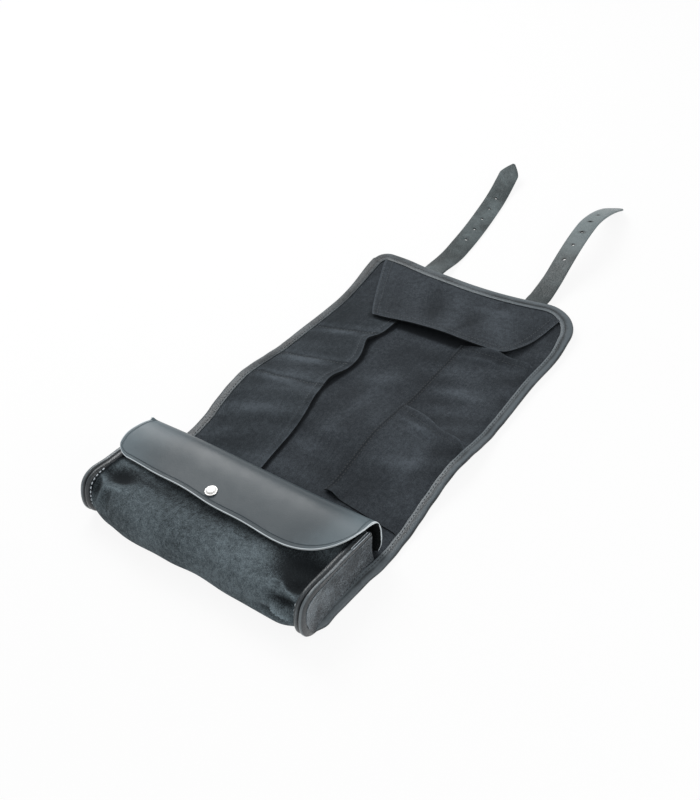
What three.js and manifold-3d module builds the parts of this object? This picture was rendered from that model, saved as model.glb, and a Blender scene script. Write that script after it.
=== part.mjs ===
// Tool roll with a box pouch: a leather-bound canvas sheet that lies open, inside up.
// Millimetres, +Z up, X across the sheet, Y from the pouch towards the straps.
// The origin is under the middle of the pouch, on the face that the roll rests on.
import * as THREE from 'three';
import Module from 'manifold-3d';

// Sheet: canvas panels that meet at four folds when the roll is wound up
const SHEET_WIDTH = 280;
const BASE_LENGTH = 112;
const RISER_LENGTH = 62;
const TOP_LENGTH = 122;
const FRONT_LENGTH = 78;
const FAR_LENGTH = 144;
const NEAR_TAPER = 8;
const TAPER_REACH = 45;
const LEFT_FLARE = 8;
const FLARE_KEPT = 60;
const FLARE_GONE = 150;
const CORNER_RADIUS = 16;
const CANVAS = 1.6;
const SEAM_GAP = 0.3;
const FOLD_GAP = 0.6;

// How the sheet lies: over the buckles in the middle, on the straps, and lifted at the far end
const HUMP_REACH = 75;
const TABLE_CLEARANCE = 0.5;
const FAR_RISE = 5.5;
const FAR_RISE_REACH = 85;

// Folded leather binding round the edge
const BINDING_WIDTH = 8;
const BINDING_LEATHER = 1.2;

// Box pouch at the near end
const POUCH_DEPTH = 92;
const POUCH_HEIGHT = 44.5;
const POUCH_MOUTH_HEIGHT = 34.5;
const POUCH_BULGE = 6.5;
const POUCH_CANVAS = 1.5;
const RIGHT_GUSSET_INSET = 10;
const LEFT_GUSSET_INSET = 2.5;
const LEFT_NOSE_BACK = 12;
const LEFT_NOSE_REACH = 60;
const GUSSET_LEATHER = 2;
const RIM_WIDTH = 5.5;
const RIM_TOP_WIDTH = 2.2;
const RIM_THICKNESS = 5;

// Leather flap of the pouch
const FLAP_RIGHT_INSET = 9;
const FLAP_LEFT_OVERHANG = 3;
const FLAP_LEATHER = 2;
const FLAP_REACH = 64;
const FLAP_LEFT_REACH = 54;
const FLAP_CREST_RISE = 9;
const FLAP_HINGE_RISE = 5.5;
const FLAP_RIGHT_CORNER = 50;
const FLAP_LEFT_CORNER = 18;
const TAB_LENGTH = 7.5;

// Press stud that closes the flap
const SNAP_OFFSET = -20;
const SNAP_FROM_EDGE = 15;
const SNAP_CAP_DIAMETER = 14;
const SNAP_CAP_HEIGHT = 2.4;
const STUD_DIAMETER = 5.2;
const STUD_HEIGHT = 4.4;
const SOCKET_BORE = 8.4;
const SOCKET_HEIGHT = 1.2;

// Flat pockets sewn on the inside
const POCKET_CANVAS = 1.2;
const POCKET_EASE = 0.4;
const LEFT_MOUTH_FROM_AXIS = 47;
const LEFT_SEAM_BEFORE_FOLD = 34;
const LEFT_END_PAST_FOLD = 50;
const RIGHT_SEAM_FROM_AXIS = 39;
const RIGHT_START_PAST_FOLD = 35;
const TIER_SEAM_BEFORE_FOLD = 9;
const RIGHT_END_PAST_FOLD = 34;
const MOUTH_LIFT = 3.5;
const MOUTH_REACH = 32;

// Canvas flap over the tool ends at the far end
const FAR_FLAP_ROOT_INSET = 17;
const FAR_FLAP_FREE_INSET = 60;
const FAR_FLAP_LENGTH = 102;
const FAR_FLAP_FREE_LIFT = 4;

// Straps: sewn on the outside as belts, then free past the far edge
const STRAP_SPACING = 138;
const STRAP_SHIFT = 4.5;
const STRAP_WIDTH = 26;
const STRAP_LEATHER = 2.2;
const STRAP_FREE_LENGTH = 258;
const STRAP_BEND_AT = 88;
const STRAP_TIP_LENGTH = 20;
const STRAP_TIP_WIDTH = 3.6;
const HOLE_COUNT = 5;
const HOLE_PITCH = 26;
const HOLE_DIAMETER = 4;
const HOLE_FROM_TIP = 80;
const STRAP_TOUCHDOWN = 60;
const LEFT_LEAN = 30;
const LEFT_TIP_RISE = 16;
const LEFT_TIP_RISE_FROM = 168;
const RIGHT_LEAN = 8;
const RIGHT_ARCH = 32;
const RIGHT_ARCH_AT = 132;
const RIGHT_ARCH_REACH = 120;
const RIGHT_TIP_FROM_ROOT = 243;

// Buckles under the sheet
const BUCKLE_WIDTH = 36;
const BUCKLE_LENGTH = 28;
const BUCKLE_WIRE = 3.6;
const BUCKLE_PAST_FOLD = 62;
const BAR_CLEARANCE = 1.2;
const BUCKLE_TILT = THREE.MathUtils.degToRad(2.5);
const PRONG_WIDTH = 3;
const PRONG_THICKNESS = 2;
const CHAPE_TAIL = 18;
const LOOP_START = THREE.MathUtils.degToRad(40);
const LOOP_END = THREE.MathUtils.degToRad(295);

const wasm = await Module();
wasm.setup();

// Places that follow from the sizes above
const FOLD_1 = BASE_LENGTH;
const FOLD_2 = FOLD_1 + RISER_LENGTH;
const FOLD_3 = FOLD_2 + TOP_LENGTH;
const FOLD_4 = FOLD_3 + FRONT_LENGTH;
const SHEET_LENGTH = FOLD_4 + FAR_LENGTH;
const LIP = BINDING_LEATHER + SEAM_GAP;
const HALF = SHEET_WIDTH / 2 - LIP;
const EDGE_BLEND = 3 * BINDING_WIDTH;
const BELT_ROOM = STRAP_LEATHER + 2 * SEAM_GAP;
const LIFT_START = FOLD_1 + BINDING_WIDTH;
const LIFT_END = FOLD_2 + BINDING_WIDTH;
const RAMP_IN_X = HALF - NEAR_TAPER - EDGE_BLEND;
const RAMP_OUT_X = HALF - NEAR_TAPER - BINDING_WIDTH;
const RAMP_IN_Y = SHEET_LENGTH - EDGE_BLEND;
const RAMP_OUT_Y = SHEET_LENGTH - BINDING_WIDTH - LIP;
const NOSE_BEND_X = RAMP_IN_X / 3;
const GUSSET_RIGHT = HALF - RIGHT_GUSSET_INSET;
const GUSSET_LEFT = HALF + LEFT_FLARE - LEFT_GUSSET_INSET;
const CORNER_X = HALF - CORNER_RADIUS;
const CORNER_Y = SHEET_LENGTH - LIP - CORNER_RADIUS;
const KNOT_PITCH = 12;
const CORNER_STATIONS = 5;
const strapX = (side) => side * STRAP_SPACING / 2 + STRAP_SHIFT;
const STRAP_ROOT = SHEET_LENGTH + 2 * SEAM_GAP;
const LEFT_POCKET_SEAM = FOLD_3 - LEFT_SEAM_BEFORE_FOLD;
const LEFT_POCKET_END = FOLD_4 + LEFT_END_PAST_FOLD;
const RIGHT_POCKET_START = FOLD_1 + RIGHT_START_PAST_FOLD;
const RIGHT_TIER_SEAM = FOLD_3 - TIER_SEAM_BEFORE_FOLD;
const RIGHT_POCKET_END = FOLD_4 + RIGHT_END_PAST_FOLD;
const FLAP_CREST = POUCH_HEIGHT + FLAP_CREST_RISE;
const FLAP_HINGE_HEIGHT = POUCH_MOUTH_HEIGHT + FLAP_HINGE_RISE;
const BUCKLE_BAR_Y = FOLD_2 + BUCKLE_PAST_FOLD;
// The loop that holds a buckle goes round its square bar, and the sheet lies over the loop
const LOOP_INNER = BUCKLE_WIRE / Math.SQRT2 + SEAM_GAP;
const LOOP_OUTER = LOOP_INNER + STRAP_LEATHER;
const BUCKLE_HUMP = TABLE_CLEARANCE + 2 * LOOP_OUTER + BAR_CLEARANCE - BELT_ROOM;

// Colours of the finishes
function finish(color, roughness, metalness = 0) {
  return () => new THREE.MeshStandardMaterial({ color, roughness, metalness });
}
const canvas = finish(0x34383b, 0.95);
const pouchCanvas = finish(0x3b4246, 0.95);
const bindingLeather = finish(0x2b2f32, 0.5);
const flapLeather = finish(0x454b50, 0.4);
const strapLeather = finish(0x484d50, 0.5);
const nickel = finish(0xd8d7d2, 0.25, 1);

const roll = new THREE.Group();
roll.position.y = -BASE_LENGTH / 2;

function addPiece(name, geometry, material, place) {
  const mesh = new THREE.Mesh(geometry, material());
  mesh.name = name;
  if (place) mesh.applyMatrix4(place);
  roll.add(mesh);
  return mesh;
}

// Smooth step from 0 at a to 1 at b
const ease = (t, a, b) => THREE.MathUtils.smoothstep(t, a, b);

// Bump of height 1 at the middle that ends at the given reach, softly if its power is 2
function bump(t, middle, reach, power = 2) {
  const share = Math.min(Math.abs(t - middle) / reach, 1);
  return Math.cos(share * Math.PI / 2) ** power;
}

// Underside of the sheet along its length, as it would lie if it were smooth
function smoothDrape(y) {
  const onBelts = BELT_ROOM * ease(y, LIFT_START, LIFT_END);
  const overBuckles = BUCKLE_HUMP * bump(y, BUCKLE_BAR_Y, HUMP_REACH);
  const farEnd = FAR_RISE * ease(y, SHEET_LENGTH - FAR_RISE_REACH, SHEET_LENGTH);
  return onBelts + overBuckles + farEnd;
}

// The same underside, straight between knots, so that all layers of cloth lie parallel
function drape(y) {
  const knot = Math.floor(y / KNOT_PITCH);
  const share = y / KNOT_PITCH - knot;
  return THREE.MathUtils.lerp(smoothDrape(knot * KNOT_PITCH), smoothDrape((knot + 1) * KNOT_PITCH), share);
}

// Half width of the canvas on one side: drawn in at the right end of the pouch,
// spread at its left end, round at the far corners
function halfWidth(side, y) {
  const drawnIn = NEAR_TAPER * (1 - ease(y, 0, TAPER_REACH));
  const spread = LEFT_FLARE * (1 - ease(y, FLARE_KEPT, FLARE_GONE));
  const near = side > 0 ? -drawnIn : spread;
  const intoCorner = Math.max(y - CORNER_Y, 0) / CORNER_RADIUS;
  return HALF + near - CORNER_RADIUS * (1 - Math.sqrt(Math.max(1 - intoCorner ** 2, 0)));
}

// Underside of the sheet at a point: its edges lie on the lower lip of the binding
const ramp = (t, a, b) => THREE.MathUtils.clamp((t - a) / (b - a), 0, 1);
function sheetBottom(x, y) {
  const toSide = ramp(Math.abs(x), RAMP_IN_X, RAMP_OUT_X);
  const toFar = ramp(y, RAMP_IN_Y, RAMP_OUT_Y);
  return drape(y) + LIP * Math.max(toSide, toFar);
}
const sheetTop = (x, y) => sheetBottom(x, y) + CANVAS;

// Places along the length where every layer of cloth has a row of corners
const knots = [RAMP_IN_Y, RAMP_OUT_Y];
for (let y = 0; y < SHEET_LENGTH; y += KNOT_PITCH) knots.push(y);
for (let i = 0; i <= CORNER_STATIONS; i += 1) {
  knots.push(CORNER_Y + CORNER_RADIUS * Math.sin(i / CORNER_STATIONS * Math.PI / 2));
}
knots.sort((p, q) => p - q);
function stations(yStart, yEnd) {
  const apart = knots.filter((y, i) => i === 0 || y - knots[i - 1] > SEAM_GAP);
  const between = apart.filter((y) => y > yStart + SEAM_GAP && y < yEnd - SEAM_GAP);
  return [yStart, ...between, yEnd];
}

// Turns a solid with its faces inward the right way round
function closedSolid(positions, indices) {
  let volume = 0;
  const a = new THREE.Vector3();
  const b = new THREE.Vector3();
  const c = new THREE.Vector3();
  for (let i = 0; i < indices.length; i += 3) {
    a.fromArray(positions, 3 * indices[i]);
    b.fromArray(positions, 3 * indices[i + 1]);
    c.fromArray(positions, 3 * indices[i + 2]);
    volume += a.dot(b.cross(c));
  }
  if (volume < 0) indices.reverse();
  const geometry = new THREE.BufferGeometry();
  geometry.setAttribute('position', new THREE.Float32BufferAttribute(positions, 3));
  geometry.setIndex(indices);
  geometry.computeVertexNormals();
  return geometry;
}

// Thin curved plate: at(u, v) gives the outer and the inner point of a cell corner
function plate(stepsU, stepsV, at) {
  const positions = [];
  const indices = [];
  const row = stepsV + 1;
  for (let i = 0; i <= stepsU; i += 1) {
    for (let j = 0; j <= stepsV; j += 1) {
      const [outer, inner] = at(i / stepsU, j / stepsV);
      positions.push(...outer, ...inner);
    }
  }
  const id = (i, j, inner) => 2 * (i * row + j) + inner;
  const quad = (p, q, r, s) => indices.push(p, q, r, p, r, s);
  for (let i = 0; i < stepsU; i += 1) {
    for (let j = 0; j < stepsV; j += 1) {
      quad(id(i, j, 0), id(i + 1, j, 0), id(i + 1, j + 1, 0), id(i, j + 1, 0));
      quad(id(i, j, 1), id(i, j + 1, 1), id(i + 1, j + 1, 1), id(i + 1, j, 1));
    }
    quad(id(i, 0, 0), id(i, 0, 1), id(i + 1, 0, 1), id(i + 1, 0, 0));
    quad(id(i + 1, stepsV, 0), id(i + 1, stepsV, 1), id(i, stepsV, 1), id(i, stepsV, 0));
  }
  for (let j = 0; j < stepsV; j += 1) {
    quad(id(0, j + 1, 0), id(0, j + 1, 1), id(0, j, 1), id(0, j, 0));
    quad(id(stepsU, j, 0), id(stepsU, j, 1), id(stepsU, j + 1, 1), id(stepsU, j + 1, 0));
  }
  return closedSolid(positions, indices);
}

// Layer that follows the sheet: the x of its columns at each y, an underside and a thickness
function layer(rows, columns, underside, thickness) {
  const across = columns(rows[0]).length - 1;
  return plate(rows.length - 1, across, (u, v) => {
    const y = rows[Math.round(u * (rows.length - 1))];
    const x = columns(y)[Math.round(v * across)];
    const z = underside(x, y);
    return [[x, y, z + thickness], [x, y, z]];
  });
}
function evenly(low, high, count) {
  return Array.from({ length: count + 1 }, (_, i) => low + (high - low) * i / count);
}

// Strip of constant section along a path of stations: place(u, p, q) gives a point
function strip(steps, section, place) {
  const positions = [];
  const indices = [];
  const count = section.length;
  for (let i = 0; i <= steps; i += 1) {
    for (const point of section) positions.push(...place(i / steps, point.x, point.y));
  }
  for (let i = 0; i < steps; i += 1) {
    for (let k = 0; k < count; k += 1) {
      const next = (k + 1) % count;
      const a = i * count + k;
      const b = i * count + next;
      indices.push(a, b, b + count, a, b + count, a + count);
    }
  }
  for (const [p, q, r] of THREE.ShapeUtils.triangulateShape(section, [])) {
    const last = steps * count;
    indices.push(p, r, q, last + p, last + q, last + r);
  }
  return closedSolid(positions, indices);
}

// Solid pulled along X from an outline in the YZ plane
function pulledAlongX(outline, xStart, length) {
  const shape = new THREE.Shape(outline);
  const geometry = new THREE.ExtrudeGeometry(shape, { depth: length, bevelEnabled: false });
  const axes = new THREE.Matrix4().makeBasis(
    new THREE.Vector3(0, 1, 0),
    new THREE.Vector3(0, 0, 1),
    new THREE.Vector3(1, 0, 0),
  );
  geometry.applyMatrix4(axes);
  geometry.translate(xStart, 0, 0);
  return geometry;
}

// Boolean cut
function toSolid(geometry) {
  const flat = geometry.index ? geometry.toNonIndexed() : geometry;
  const points = flat.getAttribute('position').array;
  const seen = new Map();
  const vertices = [];
  const triangles = [];
  for (let i = 0; i < points.length; i += 3) {
    const key = [points[i], points[i + 1], points[i + 2]].map((value) => Math.round(1e4 * value)).join(' ');
    if (!seen.has(key)) {
      seen.set(key, vertices.length / 3);
      vertices.push(points[i], points[i + 1], points[i + 2]);
    }
    triangles.push(seen.get(key));
  }
  return new wasm.Manifold(new wasm.Mesh({
    numProp: 3,
    vertProperties: new Float32Array(vertices),
    triVerts: new Uint32Array(triangles),
  }));
}

function cut(geometry, tools) {
  let solid = toSolid(geometry);
  for (const tool of tools) solid = solid.subtract(toSolid(tool));
  const mesh = solid.getMesh();
  return closedSolid(Array.from(mesh.vertProperties), Array.from(mesh.triVerts));
}

// Canvas sheet, cut at the folds
const halfGap = FOLD_GAP / 2;
const panels = [
  ['base', 2 * SEAM_GAP + POUCH_CANVAS, FOLD_1 - halfGap],
  ['riser', FOLD_1 + halfGap, FOLD_2 - halfGap],
  ['top', FOLD_2 + halfGap, FOLD_3 - halfGap],
  ['front', FOLD_3 + halfGap, FOLD_4 - halfGap],
  ['far', FOLD_4 + halfGap, SHEET_LENGTH - LIP],
];
function sheetColumns(y) {
  const left = halfWidth(-1, y);
  const right = halfWidth(1, y);
  const leftOut = Math.min(RAMP_OUT_X, left - SEAM_GAP);
  const rightOut = Math.min(RAMP_OUT_X, right - SEAM_GAP);
  return [-left, -leftOut, -RAMP_IN_X, -NOSE_BEND_X, RAMP_IN_X, rightOut, right];
}
// The left end of the pouch lies further back: its near end is drawn back along Y
function drawnBack(geometry) {
  const points = geometry.getAttribute('position');
  for (let i = 0; i < points.count; i += 1) {
    const y = points.getY(i);
    const across = Math.max((-points.getX(i) - NOSE_BEND_X) / (GUSSET_LEFT - NOSE_BEND_X), 0);
    points.setY(i, y + LEFT_NOSE_BACK * across * (1 - ease(y, -POUCH_BULGE, LEFT_NOSE_REACH)));
  }
  return geometry;
}
for (const [name, yStart, yEnd] of panels) {
  const geometry = layer(stations(yStart, yEnd), sheetColumns, sheetBottom, CANVAS);
  addPiece(`${name}_panel`, drawnBack(geometry), canvas);
}

// Leather binding folded round the edge of each panel
const bindingSection = [
  [-BINDING_WIDTH, -LIP],
  [LIP, -LIP],
  [LIP, CANVAS + LIP],
  [-BINDING_WIDTH, CANVAS + LIP],
  [-BINDING_WIDTH, CANVAS + SEAM_GAP],
  [SEAM_GAP, CANVAS + SEAM_GAP],
  [SEAM_GAP, -SEAM_GAP],
  [-BINDING_WIDTH, -SEAM_GAP],
].map(([p, q]) => new THREE.Vector2(p, q));
for (const [name, yStart, yEnd] of panels.slice(0, 4)) {
  for (const [side, label] of [[-1, 'left'], [1, 'right']]) {
    const rows = stations(yStart, yEnd);
    const geometry = strip(rows.length - 1, bindingSection, (u, p, q) => {
      const y = rows[Math.round(u * (rows.length - 1))];
      return [side * (halfWidth(side, y) + p), y, drape(y) + LIP + q];
    });
    addPiece(`${name}_binding_${label}`, drawnBack(geometry), bindingLeather);
  }
}

// Round the far end the binding goes up one side, along the edge and down the other side
const farPath = stations(FOLD_4 + halfGap, CORNER_Y).map((y) => [HALF, y, 0]);
for (let i = 1; i <= CORNER_STATIONS; i += 1) {
  const angle = i / CORNER_STATIONS * Math.PI / 2;
  const x = CORNER_X + CORNER_RADIUS * Math.cos(angle);
  farPath.push([x, CORNER_Y + CORNER_RADIUS * Math.sin(angle), angle]);
}
for (const [x, y, angle] of [...farPath].reverse()) farPath.push([-x, y, Math.PI - angle]);
addPiece('far_binding', strip(farPath.length - 1, bindingSection, (u, p, q) => {
  const [x, y, angle] = farPath[Math.round(u * (farPath.length - 1))];
  return [x + p * Math.cos(angle), y + p * Math.sin(angle), drape(y) + LIP + q];
}), bindingLeather);

// Outline of the pouch from its near fold over the top to its mouth
const pouchCurve = new THREE.SplineCurve([
  new THREE.Vector2(0, 0),
  new THREE.Vector2(-0.7 * POUCH_BULGE, 0.18 * POUCH_HEIGHT),
  new THREE.Vector2(-POUCH_BULGE, 0.42 * POUCH_HEIGHT),
  new THREE.Vector2(-0.8 * POUCH_BULGE, 0.68 * POUCH_HEIGHT),
  new THREE.Vector2(0, 0.88 * POUCH_HEIGHT),
  new THREE.Vector2(0.1 * POUCH_DEPTH, 0.975 * POUCH_HEIGHT),
  new THREE.Vector2(0.24 * POUCH_DEPTH, POUCH_HEIGHT),
  new THREE.Vector2(0.54 * POUCH_DEPTH, THREE.MathUtils.lerp(POUCH_HEIGHT, POUCH_MOUTH_HEIGHT, 0.3)),
  new THREE.Vector2(POUCH_DEPTH, POUCH_MOUTH_HEIGHT),
]);
const POUCH_STEPS = 20;
// Point of a curve in the YZ plane, moved out along its normal
function beside(curve, u, out) {
  const point = curve.getPointAt(u);
  const along = curve.getTangentAt(u);
  return new THREE.Vector2(point.x - along.y * out, point.y + along.x * out);
}
// Height and slope of a curve in the YZ plane at one y, on its upper branch
function heightAt(curve, y) {
  let low = 0;
  let high = 1;
  const rising = curve.getPointAt(1).x > curve.getPointAt(0.5).x;
  for (let i = 0; i < 40; i += 1) {
    const middle = (low + high) / 2;
    if ((curve.getPointAt(middle).x < y) === rising) low = middle;
    else high = middle;
  }
  const along = curve.getTangentAt(low);
  return { z: curve.getPointAt(low).y, slope: Math.atan(along.y / along.x) };
}

const pouchColumns = [SEAM_GAP - GUSSET_LEFT, -NOSE_BEND_X, GUSSET_RIGHT - SEAM_GAP];
const pouchShell = plate(POUCH_STEPS, pouchColumns.length - 1, (u, v) => {
  const x = pouchColumns[Math.round(v * (pouchColumns.length - 1))];
  const outer = beside(pouchCurve, u, 0);
  const inner = beside(pouchCurve, u, -POUCH_CANVAS);
  return [[x, outer.x, outer.y], [x, inner.x, Math.max(inner.y, 0)]];
});
addPiece('pouch_front', drawnBack(pouchShell), pouchCanvas);

// End walls of the pouch and the bound rim that joins them to the canvas
const bindingTop = 2 * LIP + CANVAS;
const flapBack = BASE_LENGTH - TAB_LENGTH;
const gussetEnd = flapBack - FLAP_LEATHER - SEAM_GAP;
const gussetBottom = bindingTop + SEAM_GAP;
const pouchPoints = pouchCurve.getSpacedPoints(POUCH_STEPS);
const above = pouchPoints.findIndex((point) => point.y > gussetBottom);
const step = pouchPoints[above].y - pouchPoints[above - 1].y;
const foot = pouchPoints[above - 1].clone();
foot.lerp(pouchPoints[above], (gussetBottom - foot.y) / step);
const gussetOutline = [
  foot,
  ...pouchPoints.slice(above),
  new THREE.Vector2(gussetEnd, POUCH_MOUTH_HEIGHT - SEAM_GAP),
  new THREE.Vector2(gussetEnd, gussetBottom),
];
const rimOuter = [];
const rimInner = [];
for (let i = 0; i <= POUCH_STEPS; i += 1) {
  const width = THREE.MathUtils.lerp(RIM_WIDTH, RIM_TOP_WIDTH, ease(i / POUCH_STEPS, 0.35, 0.65));
  rimOuter.push(beside(pouchCurve, i / POUCH_STEPS, SEAM_GAP + width));
  rimInner.push(beside(pouchCurve, i / POUCH_STEPS, SEAM_GAP));
}
rimOuter[0].y = 0;
rimInner[0].y = 0;
const rimOutline = [...rimOuter, ...rimInner.reverse()];
for (const [side, label] of [[-1, 'left'], [1, 'right']]) {
  const wallStart = side > 0 ? GUSSET_RIGHT : -GUSSET_LEFT - GUSSET_LEATHER;
  const middle = wallStart + GUSSET_LEATHER / 2;
  const wall = pulledAlongX(gussetOutline, wallStart, GUSSET_LEATHER);
  addPiece(`gusset_${label}`, drawnBack(wall), bindingLeather);
  const rim = pulledAlongX(rimOutline, middle - RIM_THICKNESS / 2, RIM_THICKNESS);
  addPiece(`gusset_rim_${label}`, drawnBack(rim), bindingLeather);
}

// Pouch flap: a tab sewn to the sheet, a back that stands up and a lid that folds forward
const tabBottom = CANVAS + LIP + SEAM_GAP;
const tabTop = tabBottom + FLAP_LEATHER;
const flapRight = SHEET_WIDTH / 2 - FLAP_RIGHT_INSET;
const flapLeft = -SHEET_WIDTH / 2 - FLAP_LEFT_OVERHANG;
addPiece('flap_tab', layer(
  [flapBack - FLAP_LEATHER, FOLD_1 - FOLD_GAP],
  () => [-RAMP_OUT_X, RAMP_OUT_X],
  () => tabBottom,
  FLAP_LEATHER,
), flapLeather);
const backBottom = tabTop + SEAM_GAP;
addPiece('flap_back', plate(6, 1, (u, v) => {
  const x = THREE.MathUtils.lerp(flapLeft, flapRight, v);
  const z = THREE.MathUtils.lerp(backBottom, FLAP_HINGE_HEIGHT - SEAM_GAP, u);
  return [[x, flapBack, z], [x, flapBack - FLAP_LEATHER, z]];
}), flapLeather);
const lidFront = flapBack - FLAP_REACH;
const pouchTop = (y) => heightAt(pouchCurve, y).z;
const lidFrontTop = pouchTop(lidFront) + RIM_TOP_WIDTH + 2 * SEAM_GAP + FLAP_LEATHER;
const lidCurve = new THREE.SplineCurve([
  new THREE.Vector2(flapBack, FLAP_HINGE_HEIGHT),
  new THREE.Vector2(flapBack - 0.02 * FLAP_REACH, THREE.MathUtils.lerp(FLAP_HINGE_HEIGHT, FLAP_CREST, 0.6)),
  new THREE.Vector2(flapBack - 0.12 * FLAP_REACH, FLAP_CREST),
  new THREE.Vector2(flapBack - 0.3 * FLAP_REACH, FLAP_CREST - 0.1 * FLAP_LEATHER),
  new THREE.Vector2(flapBack - 0.6 * FLAP_REACH, THREE.MathUtils.lerp(lidFrontTop, FLAP_CREST, 0.55)),
  new THREE.Vector2(lidFront, lidFrontTop),
]);
// The lid reaches less far at its left end: share of its full reach at one x
function reachShare(x) {
  const toLeft = (flapRight - x) / (flapRight - flapLeft);
  return 1 - (1 - FLAP_LEFT_REACH / FLAP_REACH) * toLeft ** 2;
}
const lidY = (x, y) => flapBack - (flapBack - y) * reachShare(x);
function cornerCut(y, radius) {
  const intoCorner = ramp(y, lidFront + radius, lidFront);
  return radius * (1 - Math.sqrt(1 - intoCorner ** 2));
}
addPiece('flap_lid', plate(18, 8, (u, v) => {
  const outer = beside(lidCurve, u, 0);
  const inner = beside(lidCurve, u, FLAP_LEATHER);
  const left = flapLeft + cornerCut(outer.x, FLAP_LEFT_CORNER);
  const right = flapRight - cornerCut(outer.x, FLAP_RIGHT_CORNER);
  const x = THREE.MathUtils.lerp(left, right, v);
  return [[x, lidY(x, outer.x), outer.y], [x, lidY(x, inner.x), u === 0 ? outer.y : inner.y]];
}), flapLeather);

// Press stud: cap and socket on the lid, stud on the pouch
const snapY = lidY(SNAP_OFFSET, lidFront + SNAP_FROM_EDGE);
const lidAtSnap = heightAt(lidCurve, lidFront + SNAP_FROM_EDGE);
const pouchAtSnap = heightAt(pouchCurve, snapY);
// Turned piece that stands on a sloping surface, its foot at the given height above it
function standing(points, surface, foot) {
  const profile = points.map(([r, z]) => new THREE.Vector2(r, z));
  const geometry = new THREE.LatheGeometry(profile, 20);
  geometry.rotateX(Math.PI / 2);
  geometry.translate(0, 0, foot);
  geometry.rotateX(surface.slope);
  geometry.translate(SNAP_OFFSET, snapY, surface.z);
  return geometry;
}
const capRadius = SNAP_CAP_DIAMETER / 2;
const studRadius = STUD_DIAMETER / 2;
const socketOuter = capRadius - SEAM_GAP;
const socketInner = SOCKET_BORE / 2;
addPiece('snap_cap', standing([
  [0, 0],
  [capRadius, 0],
  [capRadius, 0.35 * SNAP_CAP_HEIGHT],
  [0.85 * capRadius, 0.75 * SNAP_CAP_HEIGHT],
  [0.5 * capRadius, SNAP_CAP_HEIGHT],
  [0, SNAP_CAP_HEIGHT],
], lidAtSnap, SEAM_GAP), nickel);
addPiece('snap_socket', standing([
  [socketInner, 0],
  [socketOuter, 0],
  [socketOuter, SOCKET_HEIGHT],
  [socketInner, SOCKET_HEIGHT],
  [socketInner, 0],
], lidAtSnap, -FLAP_LEATHER - SEAM_GAP - SOCKET_HEIGHT), nickel);
addPiece('snap_stud', standing([
  [0, 0],
  [socketOuter, 0],
  [socketOuter, 0.3 * STUD_HEIGHT],
  [studRadius, 0.3 * STUD_HEIGHT],
  [studRadius, 0.9 * STUD_HEIGHT],
  [0.6 * studRadius, STUD_HEIGHT],
  [0, STUD_HEIGHT],
], pouchAtSnap, SEAM_GAP), nickel);

// Flat pockets: each stretch lies between two seams and gapes a little at its mouth
const pocketBottom = (x, y) => sheetTop(x, y) + POCKET_EASE;
const innerEdge = (side, y) => halfWidth(side, y) - BINDING_WIDTH - SEAM_GAP;
function gape(y, yStart, yEnd) {
  return MOUTH_LIFT * Math.sin(Math.PI * (y - yStart) / (yEnd - yStart)) ** 2;
}
const leftSeams = [FOLD_1, FOLD_2, LEFT_POCKET_SEAM, FOLD_3, FOLD_4, LEFT_POCKET_END];
const leftColumns = (y) => [
  -innerEdge(-1, y),
  -RAMP_OUT_X,
  -RAMP_IN_X,
  ...evenly(-LEFT_MOUTH_FROM_AXIS - MOUTH_REACH, -LEFT_MOUTH_FROM_AXIS, 3),
];
for (let i = 0; i + 1 < leftSeams.length; i += 1) {
  const yStart = leftSeams[i] + halfGap;
  const yEnd = leftSeams[i + 1] - halfGap;
  const underside = (x, y) => pocketBottom(x, y)
    + gape(y, yStart, yEnd) * ramp(x, -LEFT_MOUTH_FROM_AXIS - MOUTH_REACH, -LEFT_MOUTH_FROM_AXIS);
  const geometry = layer(stations(yStart, yEnd), leftColumns, underside, POCKET_CANVAS);
  addPiece(`left_pocket_${i + 1}`, geometry, canvas);
}
const rightSeams = [RIGHT_POCKET_START, FOLD_2, RIGHT_TIER_SEAM, FOLD_3, FOLD_4, RIGHT_POCKET_END];
const rightColumns = (y) => [RIGHT_SEAM_FROM_AXIS, RAMP_IN_X, RAMP_OUT_X, innerEdge(1, y)];
for (let i = 0; i + 1 < rightSeams.length; i += 1) {
  const rows = stations(rightSeams[i] + halfGap, rightSeams[i + 1] - halfGap);
  addPiece(`right_pocket_${i + 1}`, layer(rows, rightColumns, pocketBottom, POCKET_CANVAS), canvas);
}

// Canvas flap that covers the tool ends
const farFlapRoot = SHEET_LENGTH - LIP - BINDING_WIDTH - LIP;
const farFlapFree = farFlapRoot - FAR_FLAP_LENGTH;
const overPockets = POCKET_EASE + POCKET_CANVAS;
function farFlapColumns(y) {
  const toRoot = (y - farFlapFree) / FAR_FLAP_LENGTH;
  const inset = THREE.MathUtils.lerp(FAR_FLAP_FREE_INSET, FAR_FLAP_ROOT_INSET, Math.sqrt(toRoot));
  return evenly(inset - SHEET_WIDTH / 2, SHEET_WIDTH / 2 - inset, 10);
}
function farFlapBottom(x, y) {
  const toFree = (farFlapRoot - y) / FAR_FLAP_LENGTH;
  const clear = 2 * POCKET_EASE + overPockets * ramp(toFree, 0, 0.6);
  return sheetTop(x, y) + clear + FAR_FLAP_FREE_LIFT * toFree ** 2;
}
const farFlapRows = stations(farFlapFree, farFlapRoot);
addPiece('far_flap', layer(farFlapRows, farFlapColumns, farFlapBottom, POCKET_CANVAS), canvas);

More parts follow.
